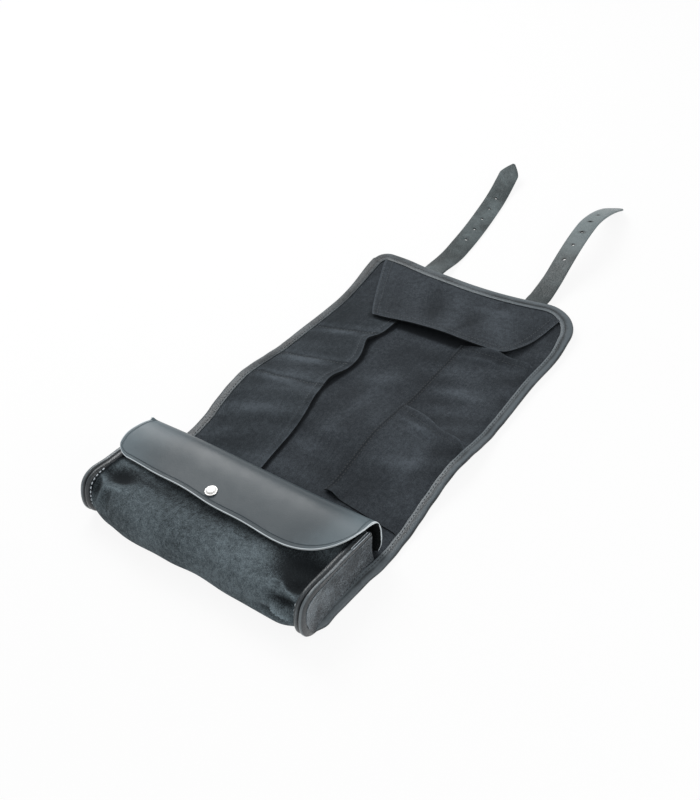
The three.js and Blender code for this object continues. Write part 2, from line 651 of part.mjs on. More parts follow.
// Straps: belts under the sheet, then two free stretches past the far edge
const beltTop = (x, y) => drape(y) - SEAM_GAP;
const beltUnder = (x, y) => beltTop(x, y) - STRAP_LEATHER;
const beltStart = BUCKLE_BAR_Y + LOOP_OUTER * Math.cos(LOOP_START) + SEAM_GAP;
const strapEnd = STRAP_ROOT + STRAP_FREE_LENGTH;
const strapBend = STRAP_ROOT + STRAP_BEND_AT;
const rootBottom = beltUnder(0, SHEET_LENGTH);
// How far each free strap leans aside and how high its underside is, a distance past its root,
// and how far its tip then lies from its root
const onTable = (past) => rootBottom * (1 - ease(past, 0, STRAP_TOUCHDOWN));
const strapForms = {
  left: {
    side: -1,
    lean: (past) => -LEFT_LEAN * (past / STRAP_FREE_LENGTH) ** 2,
    rise: (past) => onTable(past) + LEFT_TIP_RISE * ramp(past, LEFT_TIP_RISE_FROM, STRAP_FREE_LENGTH) ** 2,
    tipFromRoot: STRAP_FREE_LENGTH,
  },
  right: {
    side: 1,
    lean: (past) => -RIGHT_LEAN * past / STRAP_FREE_LENGTH,
    rise: (past) => onTable(past) + RIGHT_ARCH * bump(past, RIGHT_ARCH_AT, RIGHT_ARCH_REACH, 1),
    tipFromRoot: RIGHT_TIP_FROM_ROOT,
  },
};
function strapHalf(y) {
  const toTip = ramp(y, strapEnd - STRAP_TIP_LENGTH, strapEnd);
  return THREE.MathUtils.lerp(STRAP_WIDTH, STRAP_TIP_WIDTH, toTip ** 1.4) / 2;
}
const belts = [
  ['top', beltStart, FOLD_3 - halfGap],
  ['front', FOLD_3 + halfGap, FOLD_4 - halfGap],
  ['far', FOLD_4 + halfGap, SHEET_LENGTH],
];
for (const [label, form] of Object.entries(strapForms)) {
  const centre = (y) => strapX(form.side) + form.lean(Math.max(y - STRAP_ROOT, 0));
  const columns = (y) => evenly(centre(y) - strapHalf(y), centre(y) + strapHalf(y), 2);
  const under = (x, y) => form.rise(y - STRAP_ROOT);
  for (const [name, yStart, yEnd] of belts) {
    const geometry = layer(stations(yStart, yEnd), columns, beltUnder, STRAP_LEATHER);
    addPiece(`belt_${name}_${label}`, geometry, strapLeather);
  }
  const holes = [];
  for (let i = 0; i < HOLE_COUNT; i += 1) {
    const y = strapEnd - HOLE_FROM_TIP - i * HOLE_PITCH;
    const hole = new THREE.CylinderGeometry(HOLE_DIAMETER / 2, HOLE_DIAMETER / 2, 4 * STRAP_LEATHER, 10);
    hole.rotateX(Math.PI / 2);
    hole.translate(centre(y), y, under(0, y) + STRAP_LEATHER / 2);
    holes.push(hole);
  }
  const drawnIn = new THREE.Matrix4().makeTranslation(0, STRAP_ROOT, 0);
  drawnIn.scale(new THREE.Vector3(1, form.tipFromRoot / STRAP_FREE_LENGTH, 1));
  drawnIn.multiply(new THREE.Matrix4().makeTranslation(0, -STRAP_ROOT, 0));
  const root = layer(evenly(STRAP_ROOT, strapBend - halfGap, 14), columns, under, STRAP_LEATHER);
  addPiece(`strap_root_${label}`, cut(root, holes).applyMatrix4(drawnIn), strapLeather);
  const end = layer(evenly(strapBend + halfGap, strapEnd, 20), columns, under, STRAP_LEATHER);
  addPiece(`strap_end_${label}`, cut(end, holes).applyMatrix4(drawnIn), strapLeather);
}

// Buckles: a frame and a prong on one bar, held by a leather loop at the end of each belt
const wire = BUCKLE_WIRE;
const barZ = drape(BUCKLE_BAR_Y) - BAR_CLEARANCE - LOOP_OUTER;
function roundedBox(xHalf, yNear, yFar, radius) {
  const shape = new THREE.Shape();
  shape.moveTo(-xHalf + radius, yNear);
  shape.lineTo(xHalf - radius, yNear);
  shape.absarc(xHalf - radius, yNear + radius, radius, -Math.PI / 2, 0);
  shape.lineTo(xHalf, yFar - radius);
  shape.absarc(xHalf - radius, yFar - radius, radius, 0, Math.PI / 2);
  shape.lineTo(-xHalf + radius, yFar);
  shape.absarc(-xHalf + radius, yFar - radius, radius, Math.PI / 2, Math.PI);
  shape.lineTo(-xHalf, yNear + radius);
  shape.absarc(-xHalf + radius, yNear + radius, radius, Math.PI, 1.5 * Math.PI);
  return shape;
}

// Points of an arc round the bar in the YZ plane
function arcPoints(radius, start, end, steps) {
  const points = [];
  for (let i = 0; i <= steps; i += 1) {
    const angle = THREE.MathUtils.lerp(start, end, i / steps);
    points.push(new THREE.Vector2(radius * Math.cos(angle), radius * Math.sin(angle)));
  }
  return points;
}

// Frame: four sides of square wire, the far one being the bar
function frameSolid() {
  const near = wire / 2 - BUCKLE_LENGTH;
  const shape = roundedBox(BUCKLE_WIDTH / 2, near, wire / 2, wire);
  shape.holes.push(roundedBox(BUCKLE_WIDTH / 2 - wire, near + wire, -wire / 2, wire / 3));
  const geometry = new THREE.ExtrudeGeometry(shape, { depth: wire, bevelEnabled: false, curveSegments: 4 });
  geometry.translate(0, 0, -wire / 2);
  return geometry;
}

// Prong: an eye round the bar and an arm that rests on the outer side of the frame
function prongSolid() {
  const armTop = -wire / 2 - SEAM_GAP;
  const armBottom = armTop - PRONG_THICKNESS;
  const tip = -BUCKLE_LENGTH + wire / 4;
  const eye = Math.max(LOOP_INNER + PRONG_THICKNESS, -armBottom + SEAM_GAP);
  const start = Math.PI - Math.asin(armTop / eye);
  const end = -Math.PI - Math.asin(armBottom / eye);
  const outline = arcPoints(eye, start, end, 18);
  outline.push(new THREE.Vector2(tip, armBottom), new THREE.Vector2(tip, armTop));
  const arm = pulledAlongX(outline, -PRONG_WIDTH / 2, PRONG_WIDTH);
  const bore = new THREE.CylinderGeometry(LOOP_INNER, LOOP_INNER, 2 * PRONG_WIDTH, 16);
  bore.rotateZ(Math.PI / 2);
  return cut(arm, [bore]);
}

// Leather loop round the bar, slotted for the prong, with its tail rising to the belt
function chapeSolid() {
  const tailTop = beltUnder(0, BUCKLE_BAR_Y + CHAPE_TAIL) - barZ - SEAM_GAP;
  const outline = arcPoints(LOOP_OUTER, LOOP_START, LOOP_END, 14);
  outline.push(new THREE.Vector2(CHAPE_TAIL, tailTop - STRAP_LEATHER));
  outline.push(new THREE.Vector2(CHAPE_TAIL, tailTop));
  outline.push(...arcPoints(LOOP_INNER, LOOP_END, LOOP_START, 14));
  const loop = pulledAlongX(outline, -STRAP_WIDTH / 2, STRAP_WIDTH);
  const slot = new THREE.BoxGeometry(2 * PRONG_WIDTH, 3 * LOOP_OUTER, 4 * LOOP_OUTER);
  return cut(loop, [slot]);
}

const tilt = new THREE.Matrix4().makeRotationX(BUCKLE_TILT);
for (const [side, label] of [[-1, 'left'], [1, 'right']]) {
  const onBar = new THREE.Matrix4().makeTranslation(strapX(side), BUCKLE_BAR_Y, barZ);
  const tilted = onBar.clone().multiply(tilt);
  addPiece(`buckle_frame_${label}`, frameSolid(), nickel, tilted);
  addPiece(`buckle_prong_${label}`, prongSolid(), nickel, tilted);
  addPiece(`chape_${label}`, chapeSolid(), strapLeather, onBar);
}

export default roll;
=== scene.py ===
import math

import bpy
import numpy as np
from mathutils import Matrix, Vector


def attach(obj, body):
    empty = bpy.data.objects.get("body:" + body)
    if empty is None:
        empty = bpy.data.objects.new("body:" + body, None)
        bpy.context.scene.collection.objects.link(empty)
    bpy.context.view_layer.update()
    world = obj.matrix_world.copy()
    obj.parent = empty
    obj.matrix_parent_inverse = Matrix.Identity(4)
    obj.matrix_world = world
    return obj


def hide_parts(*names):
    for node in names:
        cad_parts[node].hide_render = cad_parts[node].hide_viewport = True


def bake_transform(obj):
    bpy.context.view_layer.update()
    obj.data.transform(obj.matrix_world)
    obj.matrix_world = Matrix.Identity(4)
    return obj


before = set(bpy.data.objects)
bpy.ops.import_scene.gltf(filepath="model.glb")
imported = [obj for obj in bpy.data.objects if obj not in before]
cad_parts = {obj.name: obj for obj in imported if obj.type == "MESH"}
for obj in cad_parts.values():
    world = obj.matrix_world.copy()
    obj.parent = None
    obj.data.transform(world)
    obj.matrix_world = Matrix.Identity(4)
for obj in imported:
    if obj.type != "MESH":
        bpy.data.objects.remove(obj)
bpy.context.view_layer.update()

# Sheet: the body of the roll, one length of dark waxed canvas that lies open with its inside up.
# It is made in four lengths that meet in the middle of a panel, so that each reaches over one fold,
# and it still humps a little where it was wound round the pouch.
PANELS = ("base", "riser", "top", "front", "far")
SHEET_CUTS = (10.2, 143, 235, 335, 516)
FAR_EDGE = 516.5
SHEET_CORNERS = (15, 47)
BEHIND_POUCH = (112, 150)
CANVAS = 1.6


def placed(points):
    """Points in millimetres from the near fold of the sheet, as metres in the part's own frame."""
    return (np.asarray(points, float) - (0.0, 56.0, 0.0)) * 0.001


def ease(value, low, high):
    """Rises smoothly from 0 at low to 1 at high."""
    share = np.clip((np.asarray(value, float) - low) / (high - low), 0, 1)
    return share * share * (3 - 2 * share)


def swell(value, middle, reach):
    """A round hump of height 1."""
    return np.cos(np.clip(np.abs(np.asarray(value, float) - middle) / reach, 0, 1) * np.pi / 2) ** 2


def bell(value, reach):
    """A bell of height 1 over 0 that is about a third as high at its reach."""
    return np.exp(-((value / reach) ** 2))


def corner(radius, away, least=0.0):
    """How far a round corner falls back at a distance from its side, which counts as least or more."""
    return radius - np.sqrt(radius**2 - np.clip(radius - away, 0, radius - least) ** 2)


def course(places, values):
    """A smooth line that runs through these values at these places."""
    place, value = np.asarray(places, float), np.asarray(values, float)
    step = np.diff(place)
    slope = np.diff(value) / step
    system, load = np.eye(len(place)), np.zeros(len(place))
    for i in range(1, len(place) - 1):
        system[i, i - 1 : i + 2] = step[i - 1], 2 * (step[i - 1] + step[i]), step[i]
        load[i] = 6 * (slope[i] - slope[i - 1])
    bend = np.linalg.solve(system, load)

    def at(where):
        where = np.clip(np.asarray(where, float), place[0], place[-1])
        i = np.clip(np.searchsorted(place, where, side="right") - 1, 0, len(step) - 1)
        a = (place[i + 1] - where) / step[i]
        b = 1 - a
        lift = ((a**3 - a) * bend[i] + (b**3 - b) * bend[i + 1]) * step[i] ** 2 / 6
        return a * value[i] + b * value[i + 1] + lift

    return at


def drape(y):
    """Height of the sheet's underside along the roll."""
    return 2.8 * ease(y, 120, 182) + 9.0 * swell(y, 236, 75) + 5.5 * ease(y, 433, 518)


left_wander = course(
    [0, 60, 105, 149, 172, 196, 230, 274, 298, 323, 345, 368, 395, 416, 440, 461, 490, 518],
    [0, 0, 1.5, 5.0, 4.0, 1.6, -0.4, -1.6, -1.0, 0.9, 2.2, 4.0, 5.6, 6.1, 4.6, 2.5, -1.0, -1.5],
)
right_edge = course(
    [
        -10, 4, 12, 25, 38, 50, 62, 78, 94, 117, 144, 165, 190, 215, 235, 255, 275, 295,
        320, 345, 372, 396, 420, 440, 455, 468, 518,
    ],
    [
        131, 134.2, 136, 136.6, 136.8, 137.9, 138.7, 140.4, 142.2, 142.4, 141.6, 140.5, 139.5, 140, 141,
        142.2, 142.5, 141.6, 141.1, 140.4, 139.6, 139.7, 141, 141, 139.9, 138.6, 138.5,
    ],
)


def left_edge(y):
    return -138.5 - 8 * (1 - ease(y, 60, 150)) + left_wander(y)


near_line = course(
    [-146, -141, -125, -105, -85, -65, -45, -20, 10, 25, 40, 55, 85, 110, 120, 129.8, 145],
    [17, 16, 10.4, 7.4, 4.1, 2.4, 2.6, 3.2, 4.4, 3.2, 0.8, -0.2, -2.0, -3.4, -1.6, 0, 0],
)
far_line_bow = course(
    [-140, -125, -110, -95, -80, -30, -10, 10, 30, 50, 75, 95, 110, 140],
    [3, 3, 2.4, 1, -1.5, -6.6, -8.2, -8.9, -8.8, -7.6, -4.8, -1.9, -1.4, -1.4],
)


def drawn_back(x, y):
    """The near edge isn't straight: its left corner lies further back than the right one."""
    return y + near_line(x) * (1 - ease(y, -6.5, 60))


def bowed(x, y):
    """The far edge hangs in a shallow bow between the straps."""
    return y + far_line_bow(x) * ease(y, 455, 514)


SLACK = [
    # x and y of each end of a soft ridge, its half width and its height
    (-136, 246, -62, 262, 5, 1.5),
    (-136, 292, -58, 316, 5, 1.7),
    (-130, 352, -60, 374, 5, 1.5),
    (-128, 196, -40, 214, 7, 1.1),
    (-30, 205, 36, 226, 9, 0.8),
    (-40, 306, 34, 330, 8, 0.9),
    (46, 196, 132, 222, 8, 1.0),
    (44, 318, 134, 342, 8, 1.0),
    (50, 244, 120, 262, 6, 0.8),
    (-8, 150, 4, 390, 9, 0.8),
    (90, 156, 104, 280, 10, 0.8),
]


def beside(x, y, x0, y0, x1, y1):
    """How far points lie along a line from its first end and aside of it, and how long the line is."""
    length = math.hypot(x1 - x0, y1 - y0)
    along = ((x - x0) * (x1 - x0) + (y - y0) * (y1 - y0)) / length
    aside = ((x - x0) * (y1 - y0) - (y - y0) * (x1 - x0)) / length
    return along, aside, length


def slack(x, y):
    """Height of the soft ridges in canvas that has been wound up and laid open again."""
    height = 0.45 + 0.45 * np.sin(x / 21 + 1.4 * np.sin(y / 47)) * np.sin(y / 33 + 0.6 * np.sin(x / 39))
    for *line, wide, high in SLACK:
        along, aside, length = beside(x, y, *line)
        aside = aside + 2.5 * np.sin(along / 17 + line[0])
        height = height + high * swell(along, length / 2, length / 2) * bell(aside, wide)
    return height * ease(y, *BEHIND_POUCH)


def ridge_wear_and_shade(x, y):
    """Painted light where the cloth stands up in ridges, whose crests are also scuffed paler, and painted
    shade where it falls between them, with soft painted stripes of light and shade.
    """
    bands = np.sin((y - 0.25 * x) / 5.6 + 1.7 * np.sin(x / 33) + np.sin(y / 41))
    bands = bands * swell(np.sin(y / 61 + x / 47), 0.4, 1.2)
    return (np.clip(slack(x, y) - 0.9, -0.6, 1) * 0.3 + 0.1 * bands) * ease(y, *BEHIND_POUCH)


left_mouth = course(
    [118, 141, 164, 189, 223, 252, 284, 314, 338, 352, 364, 376, 403, 424],
    [-34, -33, -34, -34, -37, -44, -50, -46, -46, -51, -54, -51, -45, -44],
)


def painted_shade_under_covers(x, y):
    """Painted shade on the cloth inside the left pockets and under the far flap, up to just past their
    mouths.
    """
    pocketed = ease(left_mouth(y) + 3.5 - x, 0, 3) * ease(y, 112, 122) * ease(426 - y, 0, 6)
    covered = ease(y, 401, 405) * ease(440 - y, 0, 28) * ease(92 - x, 0, 8)
    covered = covered * ease(x + 76 + 0.5 * (y - 405), 0, 4)
    return 0.9 * np.maximum(pocketed, 0.8 * covered)


def sheet_top(x, y):
    """Height of the sheet's upper face, with its edges raised into the binding."""
    edge = np.maximum((np.abs(x) - 106.5) / 16, (y - 494) / 14.5)
    inside = ease(np.minimum(x - left_edge(y), right_edge(y) - x), 6, 24) * (1 - ease(y, 480, 506))
    return drape(y) + 1.5 * np.clip(edge, 0, 1) + CANVAS + inside * slack(x, y)


class Tone:
    """A socket in a material: operators add Math nodes, and node() adds any other kind."""

    def __init__(self, tree, socket=None):
        self.tree = tree
        self.socket = socket

    def node(self, kind, settings=None, inputs=None, out=0):
        made = self.tree.nodes.new(kind)
        for key, value in (settings or {}).items():
            setattr(made, key, value)
        for key, value in (inputs or {}).items():
            if isinstance(value, Tone):
                self.tree.links.new(value.socket, made.inputs[key])
            else:
                made.inputs[key].default_value = value
        return Tone(self.tree, made.outputs[out] if made.outputs else None)

    def other(self, out):
        return Tone(self.tree, self.socket.node.outputs[out])

    def maths(self, operation, *values):
        return self.node("ShaderNodeMath", {"operation": operation}, dict(enumerate(values)))

    def __add__(self, other):
        return self.maths("ADD", self, other)

    __radd__ = __add__

    def __sub__(self, other):
        return self.maths("SUBTRACT", self, other)

    def __rsub__(self, other):
        return self.maths("SUBTRACT", other, self)

    def __mul__(self, other):
        return self.maths("MULTIPLY", self, other)

    __rmul__ = __mul__

    def sine(self):
        return self.maths("SINE", self)

    def between(self, low, high):
        limits = {"Value": self, "From Min": low, "From Max": high}
        return self.node("ShaderNodeMapRange", {"interpolation_type": "SMOOTHSTEP"}, limits)

    def place(self):
        return self.node("ShaderNodeTexCoord", out=3)

    def read(self, label):
        return self.node("ShaderNodeAttribute", {"attribute_name": label}, None, 2)

    def noise(self, scale, detail, roughness, place=None):
        sockets = {"Vector": place or self.place(), "Scale": scale, "Detail": detail, "Roughness": roughness}
        return self.node("ShaderNodeTexNoise", None, sockets)

    def blended(self, first, second):
        return self.node("ShaderNodeMix", {"data_type": "RGBA"}, {0: self, 6: first, 7: second}, 2)


def new_finish(name, specular):
    """An empty finish: the material, a Tone to start from, and its shader."""
    made = bpy.data.materials.new(name)
    made.use_nodes = True
    shader = made.node_tree.nodes["Principled BSDF"]
    shader.inputs["Specular IOR Level"].default_value = specular
    return made, Tone(made.node_tree), shader


def feed(shader, colour, roughness, height, depth):
    """Joins colour, roughness and a bump of this depth in metres to the shader."""
    links = colour.tree.links
    links.new(colour.socket, shader.inputs["Base Color"])
    links.new(roughness.socket, shader.inputs["Roughness"])
    bump = colour.node("ShaderNodeBump", None, {"Strength": 1.0, "Distance": depth, "Height": height})
    links.new(bump.socket, shader.inputs["Normal"])


def waxed_canvas(name, dark, dusty, cover, specular=0.25):
    """Twill with a dusty bloom: cover is how much of it is pale; a value stored at each point makes it paler
    where it is scuffed and where light is painted on ridges and edges, and darker where shade is painted in
    hollows and gaps.
    """
    made, tone, shader = new_finish(name, specular)
    thread = tone.node("ShaderNodeSeparateXYZ", None, {0: tone.node("ShaderNodeUVMap", {"uv_map": "cloth"})})
    warp, weft = thread, thread.other(1)
    twill = ((warp + weft) * 4190).sine() * 0.6 + (warp * 6283).sine() * (weft * 6283).sine() * 0.4
    cloud = tone.noise(14, 3, 0.5)
    dust = tone.noise(210, 5, 0.7)
    slub = tone.noise(900, 3, 0.65)
    lint = tone.noise(1700, 2, 0.6).between(0.66, 0.75)
    run = tone.node("ShaderNodeCombineXYZ", None, {0: warp * 620, 1: weft * 45})
    streak = tone.noise(1, 3, 0.6, run)
    wear_and_painted_light = tone.read("wear_and_painted_light")
    bloom = cloud.between(0.3, 0.7) * 0.3 + dust.between(0.3, 0.72) * 0.4 + slub.between(0.32, 0.68) * 0.45
    bloom = bloom + (streak - 0.5) * 0.5
    pale = bloom * cover + wear_and_painted_light * (0.3 + dust) + lint * 0.25 + twill * 0.09
    colour = pale.between(-0.15, 1.15).blended(dark, dusty)
    feed(shader, colour, 0.93 - bloom * 0.1, twill * 0.35 + dust * 0.8 + slub * 0.5 + cloud, 0.0008)
    return made


def quads(rows, columns, ring=False):
    """Faces between rows of points, and in a ring also between the last column and the first."""
    grid = np.arange(rows * columns).reshape(rows, columns)
    if ring:
        grid = np.hstack([grid, grid[:, :1]])
    near, far = grid[:-1], grid[1:]
    return np.stack([near[:, :-1], near[:, 1:], far[:, 1:], far[:, :-1]], -1).reshape(-1, 4)


def meshed(name, points, faces, finish):
    """A mesh of points in millimetres from the near fold, with its finish."""
    mesh = bpy.data.meshes.new(name)
    mesh.from_pydata(placed(points).tolist(), [], faces)
    mesh.materials.append(finish)
    return mesh


def unrolled(mesh, points, steps):
    """Stores where each point lies in the flat piece as its UV map; steps are the lengths from row to row."""
    flat = np.zeros(points.shape[:2] + (2,))
    flat[:, 1:, 0] = np.cumsum(np.linalg.norm(np.diff(points, axis=1), axis=2), axis=1)
    flat[1:, :, 1] = np.cumsum(steps)[:, None]
    flat = flat.reshape(-1, 2) * 0.001
    corner = np.zeros(len(mesh.loops), int)
    mesh.loops.foreach_get("vertex_index", corner)
    mesh.uv_layers.new(name="cloth").data.foreach_set("uv", flat[corner % len(flat)].ravel())


def marked(mesh, label, values):
    """Stores a value at each point for a finish to read."""
    values = np.ascontiguousarray(values, float).ravel()
    mesh.attributes.new(label, "FLOAT", "POINT").data.foreach_set("value", values)


def smoothed(mesh, sharp):
    """Shades a mesh smooth, apart from edges that turn by more than this many degrees."""
    mesh.polygons.foreach_set("use_smooth", np.ones(len(mesh.polygons), bool))
    mesh.set_sharp_from_angle(angle=math.radians(sharp))


def linked(name, mesh):
    piece = bpy.data.objects.new(name, mesh)
    bpy.context.collection.objects.link(piece)
    return piece


def sewn(name, top, thickness, finish, cut_edge=None, wear_and_painted_light=None):
    """A closed thin piece: rows and columns of points of its upper face, and a face a thickness below."""
    normal = np.cross(np.gradient(top, axis=1), np.gradient(top, axis=0))
    normal /= np.linalg.norm(normal, axis=2, keepdims=True)
    under = top - normal * np.asarray(thickness, float)[..., None]
    rows, columns = top.shape[:2]
    count = rows * columns
    grid = np.arange(count).reshape(rows, columns)
    face = quads(rows, columns)
    ring = np.concatenate([grid[0], grid[1:, -1], grid[-1, -2::-1], grid[-2:0:-1, 0]])
    ahead = np.roll(ring, -1)
    side = np.stack([ring, ring + count, ahead + count, ahead], -1)
    faces = np.concatenate([face, face[:, ::-1] + count, side]).tolist()
    mesh = meshed(name, np.concatenate([top, under]).reshape(-1, 3), faces, finish)
    unrolled(mesh, top, np.linalg.norm(np.diff(top, axis=0), axis=2).mean(1))
    if cut_edge:
        mesh.materials.append(cut_edge)
        part = np.zeros(len(mesh.polygons), int)
        part[-len(side):] = 1
        mesh.polygons.foreach_set("material_index", part)
    if wear_and_painted_light is not None:
        marked(mesh, "wear_and_painted_light", [wear_and_painted_light, np.maximum(wear_and_painted_light, 0)])
    smoothed(mesh, 50)
    return linked(name, mesh)


def over_fold(piece):
    """Bakes the place of a piece that reaches over a fold of the sheet into its mesh."""
    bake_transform(piece)


sheet_finish = waxed_canvas("sheet_cloth", (0.0175, 0.022, 0.027, 1), (0.112, 0.133, 0.156, 1), 0.6)
# Near-black cloth for the cut edges of the pockets and the far flap: painted shade in the gaps under them.
edge_shade_finish = waxed_canvas("edge_shade_cloth", (0.004, 0.005, 0.006, 1), (0.02, 0.024, 0.028, 1), 0.4)
for number, (start, end) in enumerate(zip(SHEET_CUTS[:-1], SHEET_CUTS[1:])):
    y = np.linspace(start, end, int((end - start) / 2.5) + 1)[:, None]
    left, right = (corner(radius, FAR_EDGE - y, 0.4) for radius in SHEET_CORNERS)
    wide = right_edge(y) - left_edge(y) - 4 - left - right
    x = left_edge(y) + 2 + left + np.linspace(0, 1, 112)[None, :] * wide
    y = y + 0 * x
    top = np.stack([x, bowed(x, drawn_back(x, y)), sheet_top(x, y)], -1)
    # Stored per point: painted light on the sheet's ridges and painted shade between them, inside the left
    # pockets and under the far flap.
    piece = sewn(f"sheet_{number + 1}", top, CANVAS, sheet_finish, wear_and_painted_light=ridge_wear_and_shade(x, y) - painted_shade_under_covers(x, y))
    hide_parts(*[f"{panel}_panel" for panel in PANELS[number : number + 2]])
    over_fold(piece)
    flat = (0.28, (end - start) * 0.001)

# Left pockets: one strip of the same canvas, sewn down along the left binding and across by three
# seams. Its long mouth has a turned hem and gapes in waves towards the middle of the sheet.
POCKET_CANVAS = 1.2
UNDER_BINDING = 8
HEM_DEPTH, HEM_SEAM = 8.5, 8
CLOTH_GAP = 0.35
LEFT_SEAMS = ((-136, 250, -44, 268), (-136, 296, -48, 318), (-130, 356, -50, 378))
left_lip = course(
    [118, 135, 165, 195, 225, 244, 262, 288, 310, 340, 360, 378, 400, 424],
    [1.0, 1.6, 2.0, 2.0, 2.2, 3.6, 2.4, 5.5, 2.4, 6.0, 7.0, 2.5, 4.0, 2.0],
)


def seam_at(seam, x):
    """How far along the roll a cross seam of the left pockets lies at x."""
    x0, y0, x1, y1 = seam
    return y0 + (y1 - y0) * (x - x0) / (x1 - x0)


def left_pocket_top(x, y):
    """Height of the left pockets' upper face: puffed between the seams and raised along the mouth."""
    from_mouth = np.maximum(left_mouth(y) - x, 0)
    at_mouth = 0.55 * np.exp(-((from_mouth / 9) ** 1.6)) + 0.45 * np.exp(-((from_mouth / 34) ** 1.8))
    puffed = 1.4 * swell(x, -92, 46)
    for seam in LEFT_SEAMS:
        puffed = puffed * (1 - 0.9 * bell(y - seam_at(seam, x), 7))
    sewn_in = ease(x - left_edge(y), UNDER_BINDING, 17)
    return sheet_top(x, y) + (CLOTH_GAP + POCKET_CANVAS + puffed) * sewn_in + left_lip(y) * at_mouth


def laid_on(height, x, y, *tier):
    """A line of points just above cloth of this height."""
    return np.stack([x, y, height(x, y, *tier) + 0.1], -1)


def stitch_tree():
    """Geometry nodes that set a short thread on every pitch of a line."""
    tree = bpy.data.node_groups.new("thread_along_line", "GeometryNodeTree")
    sockets = {}
    for label, kind in (("Line", "Geometry"), ("Pitch", "Float"), ("Length", "Float"), ("Thread", "Float")):
        sockets[label] = tree.interface.new_socket(label, in_out="INPUT", socket_type=f"NodeSocket{kind}")
    tree.interface.new_socket("Stitches", in_out="OUTPUT", socket_type="NodeSocketGeometry")
    tone = Tone(tree)
    given = tone.node("NodeGroupInput")
    line = tone.node("GeometryNodeMeshToCurve", None, {"Mesh": given})
    spacing = {"Curve": line, "Length": given.other(1)}
    spots = tone.node("GeometryNodeCurveToPoints", {"mode": "LENGTH"}, spacing)
    turn = tone.node("FunctionNodeAlignRotationToVector", {"axis": "X"}, {"Vector": spots.other(1)})
    bead = tone.node("GeometryNodeMeshUVSphere", None, {"Segments": 6, "Rings": 4, "Radius": 0.5})
    sizes = {"X": given.other(2), "Y": given.other(3), "Z": given.other(3)}
    size = tone.node("ShaderNodeCombineXYZ", None, sizes)
    thread = tone.node("GeometryNodeTransform", None, {"Geometry": bead, "Scale": size})
    copies = {"Points": spots, "Instance": thread, "Rotation": turn}
    stitches = tone.node("GeometryNodeInstanceOnPoints", None, copies)
    whole = tone.node("GeometryNodeRealizeInstances", None, {"Geometry": stitches})
    smooth = tone.node("GeometryNodeSetShadeSmooth", None, {0: whole})
    tone.node("NodeGroupOutput", None, {0: smooth})
    return tree, {label: socket.identifier for label, socket in sockets.items()}


thread_tree, thread_inputs = stitch_tree()


def applied(piece):
    """Gives a piece the mesh that its modifiers make, in place of the modifiers."""
    done = bpy.data.meshes.new_from_object(piece.evaluated_get(bpy.context.evaluated_depsgraph_get()))
    piece.modifiers.clear()
    piece.data = done
    return done


def stitched(name, lines, finish, pitch=4.2, length=3.0, thread=0.8):
    """A row of stitches along each line of points in millimetres, as one mesh."""
    points, edges = [], []
    for line in lines:
        edges += [(len(points) + i, len(points) + i + 1) for i in range(len(line) - 1)]
        points += placed(line).tolist()
    mesh = bpy.data.meshes.new(name + "_line")
    mesh.from_pydata(points, edges, [])
    row = linked(name, mesh)
    sewing = row.modifiers.new("thread", "NODES")
    sewing.node_group = thread_tree
    for label, value in (("Pitch", pitch), ("Length", length), ("Thread", thread)):
        sewing[thread_inputs[label]] = value * 0.001
    done = applied(row)
    done.name = name
    done.materials.clear()
    done.materials.append(finish)
    return row


def thread_finish(name, colour, roughness):
    made, tone, shader = new_finish(name, 0.4)
    twist = tone.noise(2200, 2, 0.5)
    dark, light = ([c * share for c in colour] + [1] for share in (0.7, 1.25))
    shade = twist.between(0.3, 0.7).blended(dark, light)
    feed(shader, shade, roughness + twist * 0.1, twist, 0.0002)
    return made


dark_thread = thread_finish("dark_thread", (0.03, 0.034, 0.037), 0.6)
grey_thread = thread_finish("grey_thread", (0.095, 0.106, 0.114), 0.6)
pocket_finish = waxed_canvas("pocket_cloth", (0.018, 0.0235, 0.0285, 1), (0.104, 0.125, 0.146, 1), 0.6)
for number, (start, end) in enumerate(((118, 235), (235, 335), (335, 424))):
    y = np.linspace(start, end, int((end - start) / 2) + 1)[:, None]
    edge = left_edge(y) + UNDER_BINDING
    x = edge + np.linspace(0, 1, 62)[None, :] * (left_mouth(y) - edge)
    y = y + 0 * x
    top = np.stack([x, y, left_pocket_top(x, y)], -1)
    from_mouth = left_mouth(y) - x
    # Stored per point: painted highlights along the mouth's lip, its hem and beside each cross seam, painted
    # shade in each seam's groove and under the far flap's edge, paler towards the near end, and the ridge
    # light and shade of the cloth.
    wear_and_painted_light = 0.35 * bell(from_mouth, 1.6) + 0.175 * bell(from_mouth - 9, 2.2) + 1.3 * ridge_wear_and_shade(x, y)
    wear_and_painted_light = wear_and_painted_light + 0.14 * ease(250 - y, 0, 50) - 0.8 * ease(y, 400, 405) * ease(x, -86, -78)
    for seam in LEFT_SEAMS:
        past = y - seam_at(seam, x)
        wear_and_painted_light = wear_and_painted_light + 0.22 * bell(past - 7, 4) + 0.15 * bell(past + 8, 4) - 0.25 * bell(past - 1.5, 2)
    doubled = POCKET_CANVAS * (1 + 1.4 * (from_mouth < HEM_DEPTH))
    piece = sewn(f"left_pockets_{number + 1}", top, doubled, pocket_finish, edge_shade_finish, wear_and_painted_light)
    rows = [laid_on(left_pocket_top, left_mouth(y[:, 0]) - HEM_SEAM, y[:, 0])]
    for seam in LEFT_SEAMS:
        if start < seam[1] and seam[3] < end:
            sx = np.linspace(seam[0] + 8, seam[2] - 4, 40)
            rows.append(laid_on(left_pocket_top, sx, seam_at(seam, sx)))
    thread = grey_thread if number else dark_thread
    stitches = stitched(f"left_pocket_stitches_{number + 1}", rows, thread, 3.6, 2.4, 0.7)
    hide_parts(*[f"left_pocket_{node}" for node in ((1, 2), (3, 4), (4, 5))[number]])
    for part in (piece, stitches):
        over_fold(part)
    flat = (0.105, (end - start) * 0.001)

